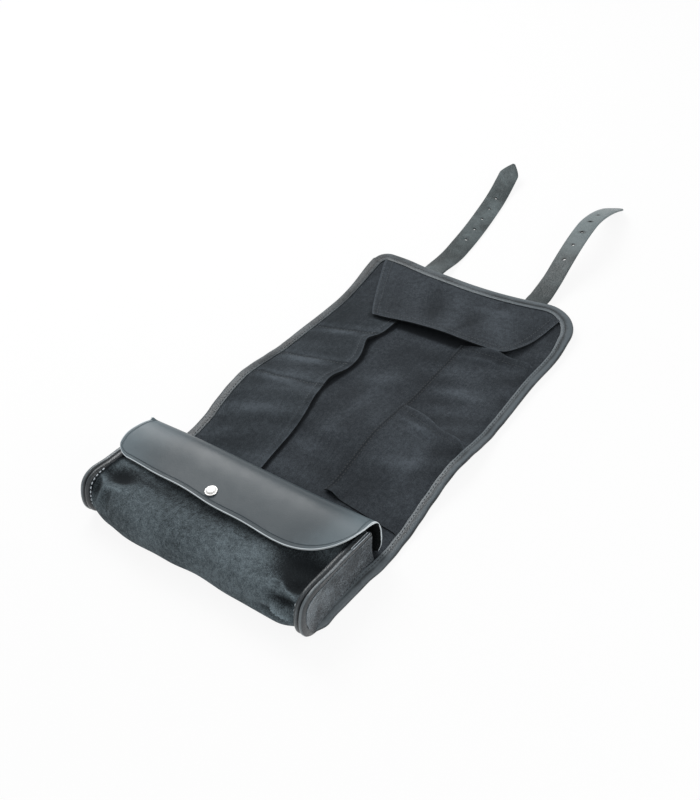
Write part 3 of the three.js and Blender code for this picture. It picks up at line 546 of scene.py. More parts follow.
# Right pockets: two tiers of canvas along the right binding, double stitched along their inner edge.
# Each tier is open towards the far end, and the mouth of the near tier covers the seam of the far one.
RIGHT_SEAM = 39
POCKET_SIDE = 131
seam_thread = thread_finish("seam_thread", (0.05, 0.057, 0.062), 0.6)


def tier_start(x, tier):
    return 147 - 0.16 * (x - RIGHT_SEAM) if tier == "near" else tier_end(x, "near") - 9


def tier_end(x, tier):
    if tier == "far":
        return 408 + 0 * x
    return 287 - 0.34 * (x - RIGHT_SEAM) + 2.2 * np.sin(x / 19)


def right_pocket_top(x, y, tier):
    """Height of a right pocket's upper face: sewn down at its sides and near end, raised at its mouth."""
    inside = ease(x, RIGHT_SEAM + 2, RIGHT_SEAM + 28) * ease(right_edge(y) - x, UNDER_BINDING, 34)
    from_mouth = tier_end(x, tier) - y
    from_start = y - tier_start(x, tier)
    mouth = (4.2 + 3.6 * np.sin(x / 17) ** 2) * bell(from_mouth, 10) * ease(x, RIGHT_SEAM, RIGHT_SEAM + 14)
    over = 1.7 * ease(from_mouth, 22, 10) if tier == "near" else 0
    corner = 5.0 * bell(from_start, 9) * swell(x, RIGHT_SEAM + 9, 14) if tier == "near" else 0
    crease = 2.6 * bell(from_mouth - 20 + 0.09 * (x - RIGHT_SEAM), 4.5) * swell(x, 72, 34)
    puffed = (1.5 * ease(from_start, 2, 40) * (1 - 0.6 * swell(x, 96, 9)) + mouth + crease) * inside**0.5
    sewn_in = ease(right_edge(y) - x, UNDER_BINDING, 17)
    return sheet_top(x, y) + (CLOTH_GAP + POCKET_CANVAS + over + puffed) * sewn_in + corner


for name, tier, start, end, number, nodes in (
    ("near_1", "near", None, 235, 1, ("right_pocket_1", "right_pocket_2")),
    ("near_2", "near", 235, None, None, ("right_pocket_2",)),
    ("far_1", "far", None, 335, 2, ("right_pocket_3", "right_pocket_4")),
    ("far_2", "far", 335, None, 3, ("right_pocket_4", "right_pocket_5")),
):
    x = np.linspace(RIGHT_SEAM, POCKET_SIDE, 62)[None, :]
    first = tier_start(x, tier) if start is None else start + 0 * x
    last = tier_end(x, tier) if end is None else end + 0 * x
    y = first + np.linspace(0, 1, 46)[:, None] * (last - first)
    wide = right_edge(y) - UNDER_BINDING - RIGHT_SEAM
    x = RIGHT_SEAM + (x - RIGHT_SEAM) * wide / (POCKET_SIDE - RIGHT_SEAM)
    top = np.stack([x, y, right_pocket_top(x, y, tier)], -1)
    from_mouth = tier_end(x, tier) - y
    from_seam = x - RIGHT_SEAM
    # Stored per point: painted highlights along the mouth, beside the seam and on the crease before the
    # mouth, painted shade in the seam's groove, and the ridge light and shade of the cloth.
    wear_and_painted_light = 0.3 * bell(from_mouth, 2) + 0.18 * bell(from_seam, 1.5) - 0.35 * bell(from_seam - 3.4, 2.2)
    wear_and_painted_light = wear_and_painted_light + 0.3 * bell(from_mouth - 20 + 0.09 * from_seam, 3) * swell(x, 75, 40)
    wear_and_painted_light = wear_and_painted_light + 1.2 * ridge_wear_and_shade(x, y)
    doubled = POCKET_CANVAS * (1 + 0.9 * (from_mouth < HEM_DEPTH))
    piece = sewn(f"right_pocket_{name}", top, doubled, sheet_finish, edge_shade_finish, wear_and_painted_light)
    rows = []
    for inset in (1.8, 5.2):
        sy = np.linspace(first[0, 0] + 1, last[0, 0] - 1, 40)
        rows.append(laid_on(right_pocket_top, np.full(40, RIGHT_SEAM + inset), sy, tier))
    if end is None:
        sx = np.linspace(RIGHT_SEAM + 8, 124, 50)
        rows.append(laid_on(right_pocket_top, sx, tier_end(sx, tier) - HEM_SEAM, tier))
    stitches = stitched(f"right_pocket_stitches_{name}", rows, seam_thread, 4.0, 2.6, 0.8)
    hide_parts(*nodes)
    for part in (piece, stitches):
        if number is None:
            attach(part, "top")
        else:
            over_fold(part)
    flat = (0.094, float(np.mean(last - first)) * 0.001)

# Far flap: a canvas flap sewn into the binding at the far end, which folds over the tools.
# Its left side slants, its right side is rounded, and its free edge stands off the pockets.
FAR_FLAP_CANVAS = 1.2
free_edge = course([-90, -75, -36, 0, 32, 60, 84, 100], [405, 404, 405, 406.5, 406, 407, 410, 413])
free_lift = course([-90, -76, -45, 0, 30, 60, 84, 110], [2.5, 3.5, 6.5, 9.5, 9.5, 7.5, 5.0, 3.0])
root = np.linspace(0, 1, 52)[:, None]
share = np.linspace(0, 1, 92)[None, :]
left_side = -76 - 50 * root**0.85
right_side = 85 + 34 * root**0.5
x = left_side + share * (right_side - left_side)
y = free_edge(x) * (1 - root) + 505.5 * root
from_ridge = y - 470 - x * 0.12
waves = np.sin(x / 10.5 + y / 23 + 1.3 * np.sin(x / 37)) * swell(root, 0.4, 0.6)
lift = 1.0 + 1.6 * (1 - ease(root, 0.0, 0.75)) + free_lift(x) * (1 - root) ** 2.4
lift = lift + 1.1 * swell(share, 0.5, 0.5) * swell(root, 0.45, 0.45)
lift = lift + 0.9 * bell(from_ridge, 7) * swell(x, 40, 60) + 0.7 * waves
lift = lift - (lift + 0.3) * ease(root, 0.88, 0.985)
top = np.stack([x, bowed(x, y), sheet_top(x, y) + lift + FAR_FLAP_CANVAS], -1)
side = np.minimum(x - left_side, right_side - x)
# Stored per point: paler along the flap's edges, painted light on its ridge and on the crests of its waves,
# and painted shade in their troughs, in a broad patch and along a slanting line.
wear_and_painted_light = 0.5 * bell(side, 2) + 0.5 * bell(y - free_edge(x), 2) + 0.25 * bell(from_ridge, 8) * swell(x, 40, 60)
wear_and_painted_light = wear_and_painted_light + 0.16 * waves - 0.2 * swell(x, -35, 40) * swell(root, 0.35, 0.4)
wear_and_painted_light = wear_and_painted_light - 0.15 * bell(x - 20 - 0.3 * (y - 405), 5)
far_flap = sewn("far_flap_cloth", top, FAR_FLAP_CANVAS, sheet_finish, edge_shade_finish, wear_and_painted_light)
rows = [top[2:-2, column] + (0, 0, 0.15) for column in (1, 4, -5, -2)]
rows += [top[row, 2:-2] + (0, 0, 0.15) for row in (2, 5)]
far_flap_stitches = stitched("far_flap_stitches", rows, grey_thread, 3.6, 2.4, 0.7)
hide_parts("far_flap")
for part in (far_flap, far_flap_stitches):
    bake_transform(part)
flat = (0.25, 0.11)

# Binding: a strip of glossy leather folded over the raw edge of the sheet and sewn through.
# It runs up both sides and round the far end with its two round corners.
BINDING_SECTION = [
    # how far out from the edge line, and how far up
    (-10.0, 0.3), (-9.8, 0.95), (-8.8, 1.25), (-5.0, 1.5), (-1.2, 1.45), (0.4, 1.0), (1.2, 0.1), (1.45, -0.8),
    (1.2, -1.7), (0.4, -2.5), (-1.2, -2.85), (-5.0, -2.9), (-8.8, -2.8), (-9.8, -2.5), (-10.0, -1.9),
    (-10.0, -0.8),
]
BINDING_SEAM = 7.4
SEAM_HEIGHT = 1.38


def leather(name, dark, light, roughness, grain, specular=0.5, coat=0.0, pores=900, fleck=0.0):
    """Dyed leather with a fine grain, a cloudy finish and scuffed places that are a little paler; a value
    stored at each point adds painted highlights and painted shade, and makes the right strap paler.
    """
    made, tone, shader = new_finish(name, specular)
    cells = {"Vector": tone.place(), "Scale": pores, "Smoothness": 0.6}
    pore = tone.node("ShaderNodeTexVoronoi", {"feature": "SMOOTH_F1"}, cells)
    wrinkle = tone.noise(420, 5, 0.65)
    cloud = tone.noise(22, 3, 0.55)
    rub = tone.noise(95, 5, 0.7)
    wear_and_painted_light = tone.read("wear_and_painted_light")
    pale = cloud.between(0.35, 0.7) * 0.45 + rub.between(0.45, 0.75) * 0.3
    pale = pale + wear_and_painted_light + (wrinkle + pore - 0.9) * fleck
    colour = pale.between(0, 1.2).blended(dark, light)
    rough = roughness + (rub - 0.5) * 0.22 + (cloud - 0.5) * 0.15
    feed(shader, colour, rough, pore * 0.6 + wrinkle + rub * 0.8, grain)
    shader.inputs["Coat Weight"].default_value = coat
    shader.inputs["Coat Roughness"].default_value = 0.3
    return made


def swept(name, path, across, section, finish, wear_and_painted_light=None):
    """A strip with a closed section (across, up) carried along a path, with flat ends."""
    ahead = np.gradient(path, axis=0)
    ahead /= np.linalg.norm(ahead, axis=1, keepdims=True)
    across = across - ahead * (across * ahead).sum(1, keepdims=True)
    across /= np.linalg.norm(across, axis=1, keepdims=True)
    up = np.cross(across, ahead)
    up = up * (-1 if up[:, 2].mean() < 0 else 1)
    section = np.broadcast_to(np.asarray(section, float), (len(path),) + np.shape(section)[-2:])
    points = path[:, None] + across[:, None] * section[..., :1] + up[:, None] * section[..., 1:]
    rows, count = points.shape[:2]
    spot = points.reshape(-1, 3)
    faces = quads(rows, count, ring=True).tolist()
    faces += [list(range(count))[::-1], list(range((rows - 1) * count, rows * count))]
    mesh = meshed(name, spot, faces, finish)
    corners = [(f[0], f[i], f[i + 1]) for f in faces for i in range(1, len(f) - 1)]
    if sum(np.dot(spot[a], np.cross(spot[b], spot[c])) for a, b, c in corners) < 0:
        mesh.flip_normals()
    unrolled(mesh, points, np.linalg.norm(np.diff(path, axis=0), axis=1))
    if wear_and_painted_light is not None:
        marked(mesh, "wear_and_painted_light", np.broadcast_to(wear_and_painted_light, (rows, count)))
    smoothed(mesh, 55)
    return linked(name, mesh)


def edge_line(side, start, end):
    """Points along a long edge of the sheet, with the ways out and up: beside the pouch it is turned up."""
    y = np.linspace(start, end, int(abs(end - start) / 3) + 2)
    x = left_edge(y) if side < 0 else right_edge(y)
    turned_up = 1 - ease(y, 85, 118)
    angle = math.radians(28) * turned_up
    outward = np.stack([side * np.cos(angle), 0 * y, -np.sin(angle)], -1)
    upward = np.stack([side * np.sin(angle), 0 * y, np.cos(angle)], -1)
    return np.stack([x, drawn_back(x, y), sheet_top(x, y) + 0.5 * turned_up], -1), outward, upward


binding_colours = (0.008, 0.0112, 0.0138, 1), (0.1, 0.121, 0.135, 1)
binding_finish = leather("binding_strip", *binding_colours, 0.33, 0.0003, 0.34)
# Painted highlights: pale lines along the binding's inner edge and outer ridge, painted stronger on the right
# side, where the light falls, than on the left.
binding_highlights = np.array([0, 0.5, 0.8, 0.1, 0.8, 0.3] + [0.0] * (len(BINDING_SECTION) - 6))
for side, word, highlight_strength in ((-1, "left", 0.45), (1, "right", 1.6)):
    for number, (start, end) in enumerate(((2, 143), (143, 235), (235, 335))):
        line, outward, upward = edge_line(side, start, end)
        y = line[:, 1:2]
        line = line - outward * 2.5 * (1 - ease(y, 2, 18))
        skived = 0.35 + 0.65 * ease(line[:, 1], 2, 16)
        section = np.array([[(a, b * thin) for a, b in BINDING_SECTION] for thin in skived])
        wavy = line + outward * 0.35 * np.sin(y / 5.3) * np.sin(y / 17)
        label = f"{word}_{number + 1}"
        piece = swept(f"binding_{label}", wavy, outward, section, binding_finish, binding_highlights * highlight_strength)
        seam = line - outward * BINDING_SEAM + upward * SEAM_HEIGHT
        row = stitched(f"binding_stitches_{label}", [seam], dark_thread)
        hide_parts(*[f"{panel}_binding_{word}" for panel in PANELS[number : number + 2]])
        for part in (piece, row):
            over_fold(part)
left_line, left_out, _ = edge_line(-1, 335, 500)
right_line, right_out, _ = edge_line(1, 467, 335)
turn = np.linspace(0, np.pi / 2, 16)[1:]
left_turn = np.stack([-np.cos(turn), np.sin(turn), 0 * turn], -1)
left_corner = left_turn * 16 + (-122.5, 500.5, 0)
right_turn = left_turn[::-1] * (-1, 1, 1)
right_corner = right_turn * 48 + (90.5, 468.5, 0)
across_x = np.linspace(-122.5, 90.5, 62)[1:-1]
far_line = np.stack([across_x, 0 * across_x + FAR_EDGE, 0 * across_x], -1)
far_out = np.broadcast_to((0.0, 1.0, 0.0), far_line.shape)
line = np.concatenate([left_line, left_corner, far_line, right_corner, right_line])
outward = np.concatenate([left_out, left_turn, far_out, right_turn, right_out])
line[:, 2] = sheet_top(line[:, 0], line[:, 1])
line[:, 1] = bowed(line[:, 0], line[:, 1])
wider = 2.6 * ease(line[:, 1], 440, 495)
section = np.array([[(a - w if a < -4 else a, b) for a, b in BINDING_SECTION] for w in wider])
# The painted highlights grow stronger towards the right along the far end.
highlight_strength = 0.45 + 1.15 * ease(line[:, :1], -125, 90)
piece = swept("binding_far", line, outward, section, binding_finish, binding_highlights * highlight_strength)
row = stitched("binding_stitches_far", [line - outward * BINDING_SEAM + (0, 0, SEAM_HEIGHT)], dark_thread)
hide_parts("far_binding", "front_binding_left", "front_binding_right")
for part in (piece, row):
    over_fold(part)

# Pouch front: canvas that rises from the near fold of the sheet, bulges and runs back to the mouth.
# It is cut full and gathered into the end walls, so it puckers beside both of them.
POUCH_CANVAS = 1.5
POUCH_LEFT, POUCH_RIGHT = -140.5, 127.5
PROFILE = [
    (10, 0.45), (4, 0.6), (-0.5, 2.6), (-4.2, 8.0), (-6.5, 18.7), (-5.2, 30.3), (0, 39.2), (9.2, 43.4),
    (22.1, 44.5), (49.7, 41.5), (92, 34.5),
]
NOSE = [(10, 3.0), (5, 5.2), (0.5, 8.0), (-3.6, 12.4), (-6.4, 19.6)]


def outline(points):
    """The run along an outline of (y, z) points, and smooth lines for its y and its z."""
    points = np.array(points, float)
    run = np.concatenate([[0], np.cumsum(np.hypot(*np.diff(points, axis=0).T))])
    return run, course(run, points[:, 0]), course(run, points[:, 1])


profile_run, profile_y, profile_z = outline(PROFILE)
nose_y, nose_z = (course(profile_run, values) for values in zip(*(NOSE + PROFILE[5:])))
PUCKERS = [
    # end wall (1 right), distance from it and place on the profile at both ends, half width, height
    (1, 5, 50, 31, 63, 1.5, 5.5), (1, 31, 63, 40, 57, 1.8, 3.0), (1, 5, 31, 31, 41, 1.4, 5.0),
    (-1, 8, 68, 24, 60, 1.6, 4.0), (-1, 24, 60, 44, 63, 2.2, 2.5), (-1, 22, 60, 20, 36, 1.8, 2.0),
]
HOLLOWS = [
    # end wall, distance from it, place on the profile, half length, half width, depth
    (1, 21, 84, 29, 21, 13), (1, 14, 68, 13, 10, 7), (1, 20, 47, 15, 6, 8), (1, 30, 29, 18, 6, 6),
    (-1, 25, 82, 17, 11, 8), (-1, 12, 53, 6, 12, 5), (-1, 30, 50, 6, 10, 3),
]


def from_wall(wall, x):
    """Distance from the right end wall, or from the left one."""
    return POUCH_RIGHT - x if wall > 0 else x - POUCH_LEFT


def gathers(run, x):
    """How far the gathered canvas stands out into ridges, and how far it falls into hollows."""
    out, deep = 0 * (run + x), 0 * (run + x)
    for wall, *line, wide, high in PUCKERS:
        along, aside, length = beside(from_wall(wall, x), run, *line)
        aside = aside + 0.8 * np.sin(along / 4)
        ends = ease(along, -4, 7) * ease(length + 4 - along, 0, 11)
        out = out + high * np.exp(-np.abs(aside / wide) ** 1.3) * ends
    for wall, middle, place, long, wide, depth in HOLLOWS:
        away = from_wall(wall, x)
        here = ((away - middle) / long) ** 2 + ((run - place) / wide) ** 2
        deep = deep + depth * np.exp(-(here**1.25)) * ease(away, -1, 9)
    return out, deep


def pouch_point(run, x):
    """A point of the pouch front: its profile, pushed out by its fullness and its gathers."""
    ends = np.minimum(x - POUCH_LEFT, POUCH_RIGHT - x)
    full = ease(ends, 0, 30)
    y = nose_y(run) * (1 - full) + profile_y(run) * full
    z = nose_z(run) * (1 - full) + profile_z(run) * full
    dy, dz = (line(run + 0.5) - line(run - 0.5) for line in (profile_y, profile_z))
    size = np.maximum(np.hypot(dy, dz), 1e-6)
    seams = ease(run, 8, 22) * ease(profile_run[-1] - run, 4, 40)
    out = 2.4 * seams * ease(ends, 6, 60) + 0.9 * np.sin(x / 27 + run / 19) * seams
    out = out + 0.8 * np.sin(x / 11 - run / 13 + 2 * np.sin(x / 41)) * seams * (1 - 0.6 * ease(ends, 20, 70))
    ridge, deep = gathers(run, x)
    out = out + (ridge - deep) * seams
    sag = 4.0 * ease(run, 60, 88) * ease(ends, 10, 80) * ease(profile_run[-1] - run, 0, 30)
    y, z = y - out * dz / size, z + out * dy / size - sag
    return np.stack([x + 0 * run, drawn_back(x, y), np.maximum(z, 0.4 + 0 * x)], -1)


pouch_colours = (0.0115, 0.0155, 0.0185, 1), (0.25, 0.315, 0.35, 1)
pouch_finish = waxed_canvas("pouch_cloth", *pouch_colours, 0.7)
run = np.linspace(0, profile_run[-1], 140)[:, None]
x = (-6.5 - 133.9 * np.cos(np.linspace(0, np.pi, 270)))[None, :]
top = pouch_point(run + 0 * x, x + 0 * run)
ridge, deep = gathers(run + 0 * x, x + 0 * run)
# Painted light on the gathered ridges, painted shade in the hollows and a painted shadow under the lid's
# front edge.
lid_shadow = swell(run, 92, 16) * ease(x, -140, -100) * ease(96 - x, 0, 30)
wear_and_painted_light = np.clip(ridge * 0.1, 0, 0.4) - np.clip(deep * 0.08, 0, 0.8) - 0.3 * lid_shadow
pouch_front = sewn("pouch_front_canvas", top, POUCH_CANVAS, pouch_finish, wear_and_painted_light=wear_and_painted_light)
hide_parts("pouch_front")
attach(pouch_front, "base")

# End walls: grained leather with a round nose, set into both ends of the pouch and bowed inwards.
# Each has a bound rim that stands out round the nose and thins along the top, sewn with pale thread.
WALL_LEATHER = 2.0
WALL_FOOT = 4.9
wall_colours = (0.034, 0.042, 0.05, 1), (0.27, 0.32, 0.36, 1)
wall_finish = leather("wall_leather", *wall_colours, 0.34, 0.004, 0.55, 0.3, 520, 0.55)
rim_colours = (0.017, 0.022, 0.026, 1), (0.13, 0.155, 0.17, 1)
rim_finish = leather("rim_leather", *rim_colours, 0.33, 0.0004, 0.5, 0.2)
pale_thread = thread_finish("pale_thread", (0.6, 0.66, 0.71), 0.55)
RIM = [
    (13, 5.8), (6, 6.0), (-0.3, 8.6), (-4.4, 13.0), (-6.5, 19.4), (-5.7, 31.0), (-1.2, 40.4), (8.5, 44.4),
    (22.1, 44.9), (49.7, 43.6), (75, 41.6), (95, 39.6),
]
RIM_SECTION = [
    # how far out of the full height, and how far in from the end wall
    (-0.3, -2.4), (0.85, -2.4), (1.0, -1.5), (1.0, 0.4), (0.8, 1.2), (0.55, 2.0), (0.78, 2.9), (0.93, 4.2),
    (0.9, 5.6), (0.72, 6.9), (0.3, 7.7), (-0.3, 7.8),
]
rim_run, rim_y, rim_z = outline(RIM)
# Painted highlight on the rim's outermost face, a fainter one just inside it, and painted shade over the rest
# of its section.
rim_highlight_and_shade = np.array([0.7 if out == 1 else 0.3 if out > 0.9 else -0.3 for out, inward in RIM_SECTION])
for word, side, wall_x in (("left", -1, -141), ("right", 1, 129.8)):
    run = np.linspace(0, rim_run[-1], 130)
    line = np.stack([0 * run + wall_x, rim_y(run), rim_z(run)], -1)
    ahead = np.gradient(line, axis=0)
    radial = np.stack([0 * run, -ahead[:, 2], ahead[:, 1]], -1)
    radial /= np.linalg.norm(ahead, axis=1, keepdims=True)
    inner = (line - radial * 1.2)[9:]
    rise = np.linspace(0, 1, 30)[:, None]
    foot_y = np.maximum(inner[:, 1], 2.0)
    y = foot_y + (inner[:, 1] - foot_y) * rise**0.6
    z = WALL_FOOT + (inner[:, 2] - WALL_FOOT) * rise
    bow = 3.2 * np.sin(np.pi * rise) * ease(y, -2, 20) * (1 - 0.5 * ease(y, 60, 92))
    bow = bow + 0.7 * np.sin(y / 6.5 + 3 * rise) * np.sin(np.pi * rise)
    x = wall_x + side * (WALL_LEATHER / 2) - side * np.abs(bow) + 0 * y
    top = np.stack([x, drawn_back(x, y), z], -1)
    # Stored per point: paler along the top of the wall, a painted highlight band across its middle, and
    # darker towards its foot and the bottom of its nose.
    wear_and_painted_light = 0.5 * bell(1 - rise, 0.08) + 0.3 * swell(rise, 0.5 + y / 300, 0.4) * swell(y, 48, 46)
    wear_and_painted_light = wear_and_painted_light - 0.3 * (1 - ease(rise, 0.02, 0.3)) - 0.25 * (1 - ease(y, -2, 16))
    top = top if side < 0 else top[:, ::-1]
    wall = sewn(f"end_wall_{word}", top, WALL_LEATHER, wall_finish, wear_and_painted_light=wear_and_painted_light)
    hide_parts(f"gusset_{word}")
    proud = 5.4 - 3.1 * ease(run / rim_run[-1], 0.35, 0.65)
    line[:, 1] = drawn_back(line[:, 0], line[:, 1])
    section = np.array([[(out * high, inward * side) for out, inward in RIM_SECTION] for high in proud])
    rim = swept(f"end_rim_{word}", line, radial, section, rim_finish, rim_highlight_and_shade)
    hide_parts(f"gusset_rim_{word}")
    foot = line + radial * 1.6 - (side * 7.9, 0, 0)
    edges = [line + radial * (proud[:, None] + 0.05) - (side * inward, 0, 0) for inward in (-1.6, 0.8)]
    seen = foot[10:64] if side < 0 else foot[22:42]
    rows = stitched(f"end_rim_stitches_{word}", [seen], pale_thread, 4.4, 3.4, 1.4)
    ends = [edge[106:128] for edge in edges]
    turned_edge = stitched(f"end_rim_edges_{word}", ends, pale_thread, 1.6, 2.4, 0.7)
    for part in (wall, rim, rows, turned_edge):
        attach(part, "base")

# Flap: one piece of smooth satin leather, sewn to the sheet behind the pouch, standing up behind it and
# folded over its top as a lid with round front corners. Its cut edge is pale and a crease runs inside it.
FLAP_LEATHER = 2.0
FLAP_LEFT, FLAP_RIGHT = -136.5, 131
FLAP_WIDTH = 274
LID_FRONT = 40.5
LID_CREST = 104.5
RIGHT_SWEEP, LEFT_ROUND = 60, 17
LID = [
    (111.7, 21), (111.7, 30), (109.4, 39.2), (105.2, 46.6), (98.6, 52.0), (89, 54.2), (75, 53.4), (58, 50.4),
    (40.5, 47.0), (30, 44.8),
]
BACK = [(113.5, 5.4), (109.0, 5.5), (106.9, 6.6), (108.3, 10), (110.5, 15), (111.7, 21)]
lid_run, lid_y, lid_z = outline(LID)
back_run, back_y, back_z = outline(BACK)
# The left end of the flap bulges outwards between its crest and its front corner.
lid_left = course(
    [50, 57, 65, 74, 84, 93, 102, 112],
    [-142, -144, -146, -146.4, -143.5, -140.2, -136.8, -136],
)


def lid_edge(share):
    """How far forward the lid reaches across its width, swept back at the right and rounded at the left."""
    right, left = FLAP_WIDTH * (1 - share), FLAP_WIDTH * share
    sweep = corner(RIGHT_SWEEP, right) + corner(LEFT_ROUND, left)
    return np.minimum(LID_FRONT + 0.97 * sweep + 0.7 * np.sin(share * 23) * ease(right, 30, 70), 99)


def flap_lean(x, z):
    """The flap leans back and stands a little higher towards its left end."""
    return 5.5 * ease(-x, -95, 110) * ease(z, 6, 34)


def lid_reach(share):
    """How much of its full depth the lid has across its width: it is less deep at the left."""
    return 1 - (1 - 54 / 64) * (1 - share) ** 2


def satin_leather(name, dark, light):
    """Smooth satin leather, painted paler towards both ends as a painted reflection, with a pressed crease
    inside its edge.

    The attribute inset gives each point's distance from that edge in metres.
    """
    made, tone, shader = new_finish(name, 0.42)
    cloud = tone.noise(16, 3, 0.5)
    scuff = tone.noise(70, 6, 0.7)
    pore = tone.noise(900, 3, 0.6)
    inset = tone.read("inset")
    crease = inset.between(0.0028, 0.0036) - inset.between(0.004, 0.0048)
    rub = 1 - inset.between(0.0003, 0.001)
    across = tone.node("ShaderNodeSeparateXYZ", None, {0: tone.place()})
    # Painted reflection: the lid is painted paler towards both ends than in its middle.
    end_reflections = across * across * 60 - 0.45
    pale = cloud.between(0.3, 0.7) * 0.5 + scuff.between(0.5, 0.8) * 0.25 - crease * 0.5 + end_reflections
    rough = 0.4 + (scuff - 0.5) * 0.18 + (cloud - 0.5) * 0.12 + crease * 0.15
    dyed = pale.between(-0.1, 1.1).blended(dark, light)
    relief = pore * 0.1 + scuff * 0.22 + cloud * 0.5 - crease * 0.7
    edged = (rub * (0.55 + scuff * 0.6)).blended(dyed, (0.72, 0.79, 0.83, 1))
    feed(shader, edged, rough, relief, 0.0006)
    return made


flap_finish = satin_leather("satin_leather", (0.037, 0.053, 0.063, 1), (0.098, 0.134, 0.154, 1))
# The flesh side is near black: its own dull colour, darkened further as painted shade inside the lid.
shaded_flesh_colours = (0.006, 0.008, 0.009, 1), (0.016, 0.019, 0.021, 1)
shaded_flesh_finish = leather("flesh_side_shaded", *shaded_flesh_colours, 0.85, 0.0004, 0.2)
cut_colours = (0.62, 0.68, 0.71, 1), (0.9, 0.94, 0.96, 1)
cut_finish = leather("cut_leather_edge", *cut_colours, 0.55, 0.0003, 0.5)


def flap_piece(name, top, thickness, inset):
    """A part of the flap with a dull flesh side below, darkened as painted shade, a pale cut edge and a
    crease inside the edge.
    """
    thickness = np.broadcast_to(thickness, inset.shape)[:, ::-1]
    piece = sewn(name, top[:, ::-1], thickness, flap_finish, cut_finish)
    part = np.zeros(len(piece.data.polygons), int)
    piece.data.polygons.foreach_get("material_index", part)
    faces = int((part == 0).sum()) // 2
    part[faces : 2 * faces] = 2
    piece.data.materials.append(shaded_flesh_finish)
    piece.data.polygons.foreach_set("material_index", part)
    marked(piece.data, "inset", [inset[:, ::-1] * 0.001] * 2)
    return piece


share = (0.5 - 0.5 * np.cos(np.linspace(0, np.pi, 170)))[None, :]
fine = np.linspace(0, lid_run[-1], 900)
forward = np.maximum.accumulate(110 - lid_y(fine) + 1e-6 * fine)
edge_run = np.interp(110 - lid_edge(share[0]), forward, fine)
run = np.linspace(0, 1, 84)[:, None] * edge_run[None, :]
y = LID_CREST - (LID_CREST - lid_y(run)) * lid_reach(share)
left_end = lid_left(y)
x = left_end + share * (FLAP_RIGHT - left_end)
ends = ease(np.minimum(x - left_end, FLAP_RIGHT - x), 0, 70)
z = lid_z(run) - (1 - ends) * 2.2 * ease(run, 22, 45) - 0.5 * np.sin(x / 31) * ease(run, 70, 110)
z = z - 0.6 * swell(x, 24, 30) * ease(run, 85, 112)
z = z + 3.0 * bell(x - left_end, 2.4) * swell(run, 33, 5)
lean = flap_lean(x, z)
top = np.stack([x, y + lean, z + 0.1 * lean], -1)
inset = np.minimum((edge_run[None, :] - run) * 0.97, np.minimum(x - left_end, FLAP_RIGHT - x))
lid = flap_piece("flap_lid_leather", top, FLAP_LEATHER, inset)
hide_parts("flap_lid", "flap_back")
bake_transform(lid)
run = np.linspace(0, back_run[-1], 26)[:, None]
taper = 14 * (1 - ease(run, 3, 14))
tab_cut = 9 * (1 - ease(run, 2, 7))
wide = FLAP_RIGHT - FLAP_LEFT - taper * 1.15 - tab_cut
x = FLAP_LEFT + taper + np.linspace(0, 1, 90)[None, :] * wide
lean = flap_lean(x, back_z(run))
top = np.stack([x, back_y(run) + lean, back_z(run) + 0.1 * lean], -1)
inset = np.minimum(x - x[:, :1], x[:, -1:] - x)
skived = FLAP_LEATHER * (1 - 0.35 * bell(inset, 5) * ease(back_run[-1] - run, 0, 6))
back = flap_piece("flap_back_leather", top, skived, inset)
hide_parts("flap_tab", "flap_back")
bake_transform(back)

# Press stud: a domed nickel cap on the lid, its socket under the lid, and the stud on the pouch.
# They are stamped from thin plated brass, so the cap has a rolled rim.
SNAP_X, SNAP_Y = -20, 57.7


def nickel(name):
    """Plated metal with a haze and fine scratches."""
    made, tone, shader = new_finish(name, 0.5)
    scratch = tone.noise(700, 4, 0.7)
    haze = tone.noise(120, 3, 0.5)
    colour = haze.between(0.3, 0.7).blended((0.74, 0.73, 0.71, 1), (0.9, 0.89, 0.87, 1))
    feed(shader, colour, 0.34 + (scratch - 0.5) * 0.2, scratch, 0.00012)
    shader.inputs["Metallic"].default_value = 1.0
    return made


def lathe(contour, sides):
    """Points and faces of a round solid turned from a contour of (radius, height)."""
    angle = np.linspace(0, 2 * np.pi, sides, endpoint=False)
    points = [(radius * np.cos(a), radius * np.sin(a), height) for radius, height in contour for a in angle]
    faces = quads(len(contour), sides, ring=True).tolist()
    faces += [list(range(sides))[::-1], list(range(len(points) - sides, len(points)))]
    return np.array(points), faces


nickel_finish = nickel("nickel_plate")
cap_lean = float(flap_lean(SNAP_X, 50))
cap_z = float(np.interp(SNAP_Y - cap_lean, lid_y(fine)[::-1], lid_z(fine)[::-1])) + 0.2 + 0.1 * cap_lean
CAP = [
    (5.2, -0.6), (6.0, -0.2), (6.2, 0.3), (6.0, 0.6), (5.6, 0.75), (5.2, 0.7), (4.8, 0.9), (3.8, 1.3),
    (2.4, 1.6), (1.1, 1.75), (0.3, 1.77),
]
points, faces = lathe(CAP, 40)
tilt = np.array(Matrix.Rotation(math.radians(4), 3, "X"))
cap_mesh = meshed("press_cap", points @ tilt.T + (SNAP_X, SNAP_Y, cap_z), faces, nickel_finish)
smoothed(cap_mesh, 48)
cap = linked("press_cap", cap_mesh)
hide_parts("snap_cap")
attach(cap, "flap_lid")
for node in ("snap_socket", "snap_stud"):
    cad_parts[node].data.materials.clear()
    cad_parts[node].data.materials.append(nickel_finish)

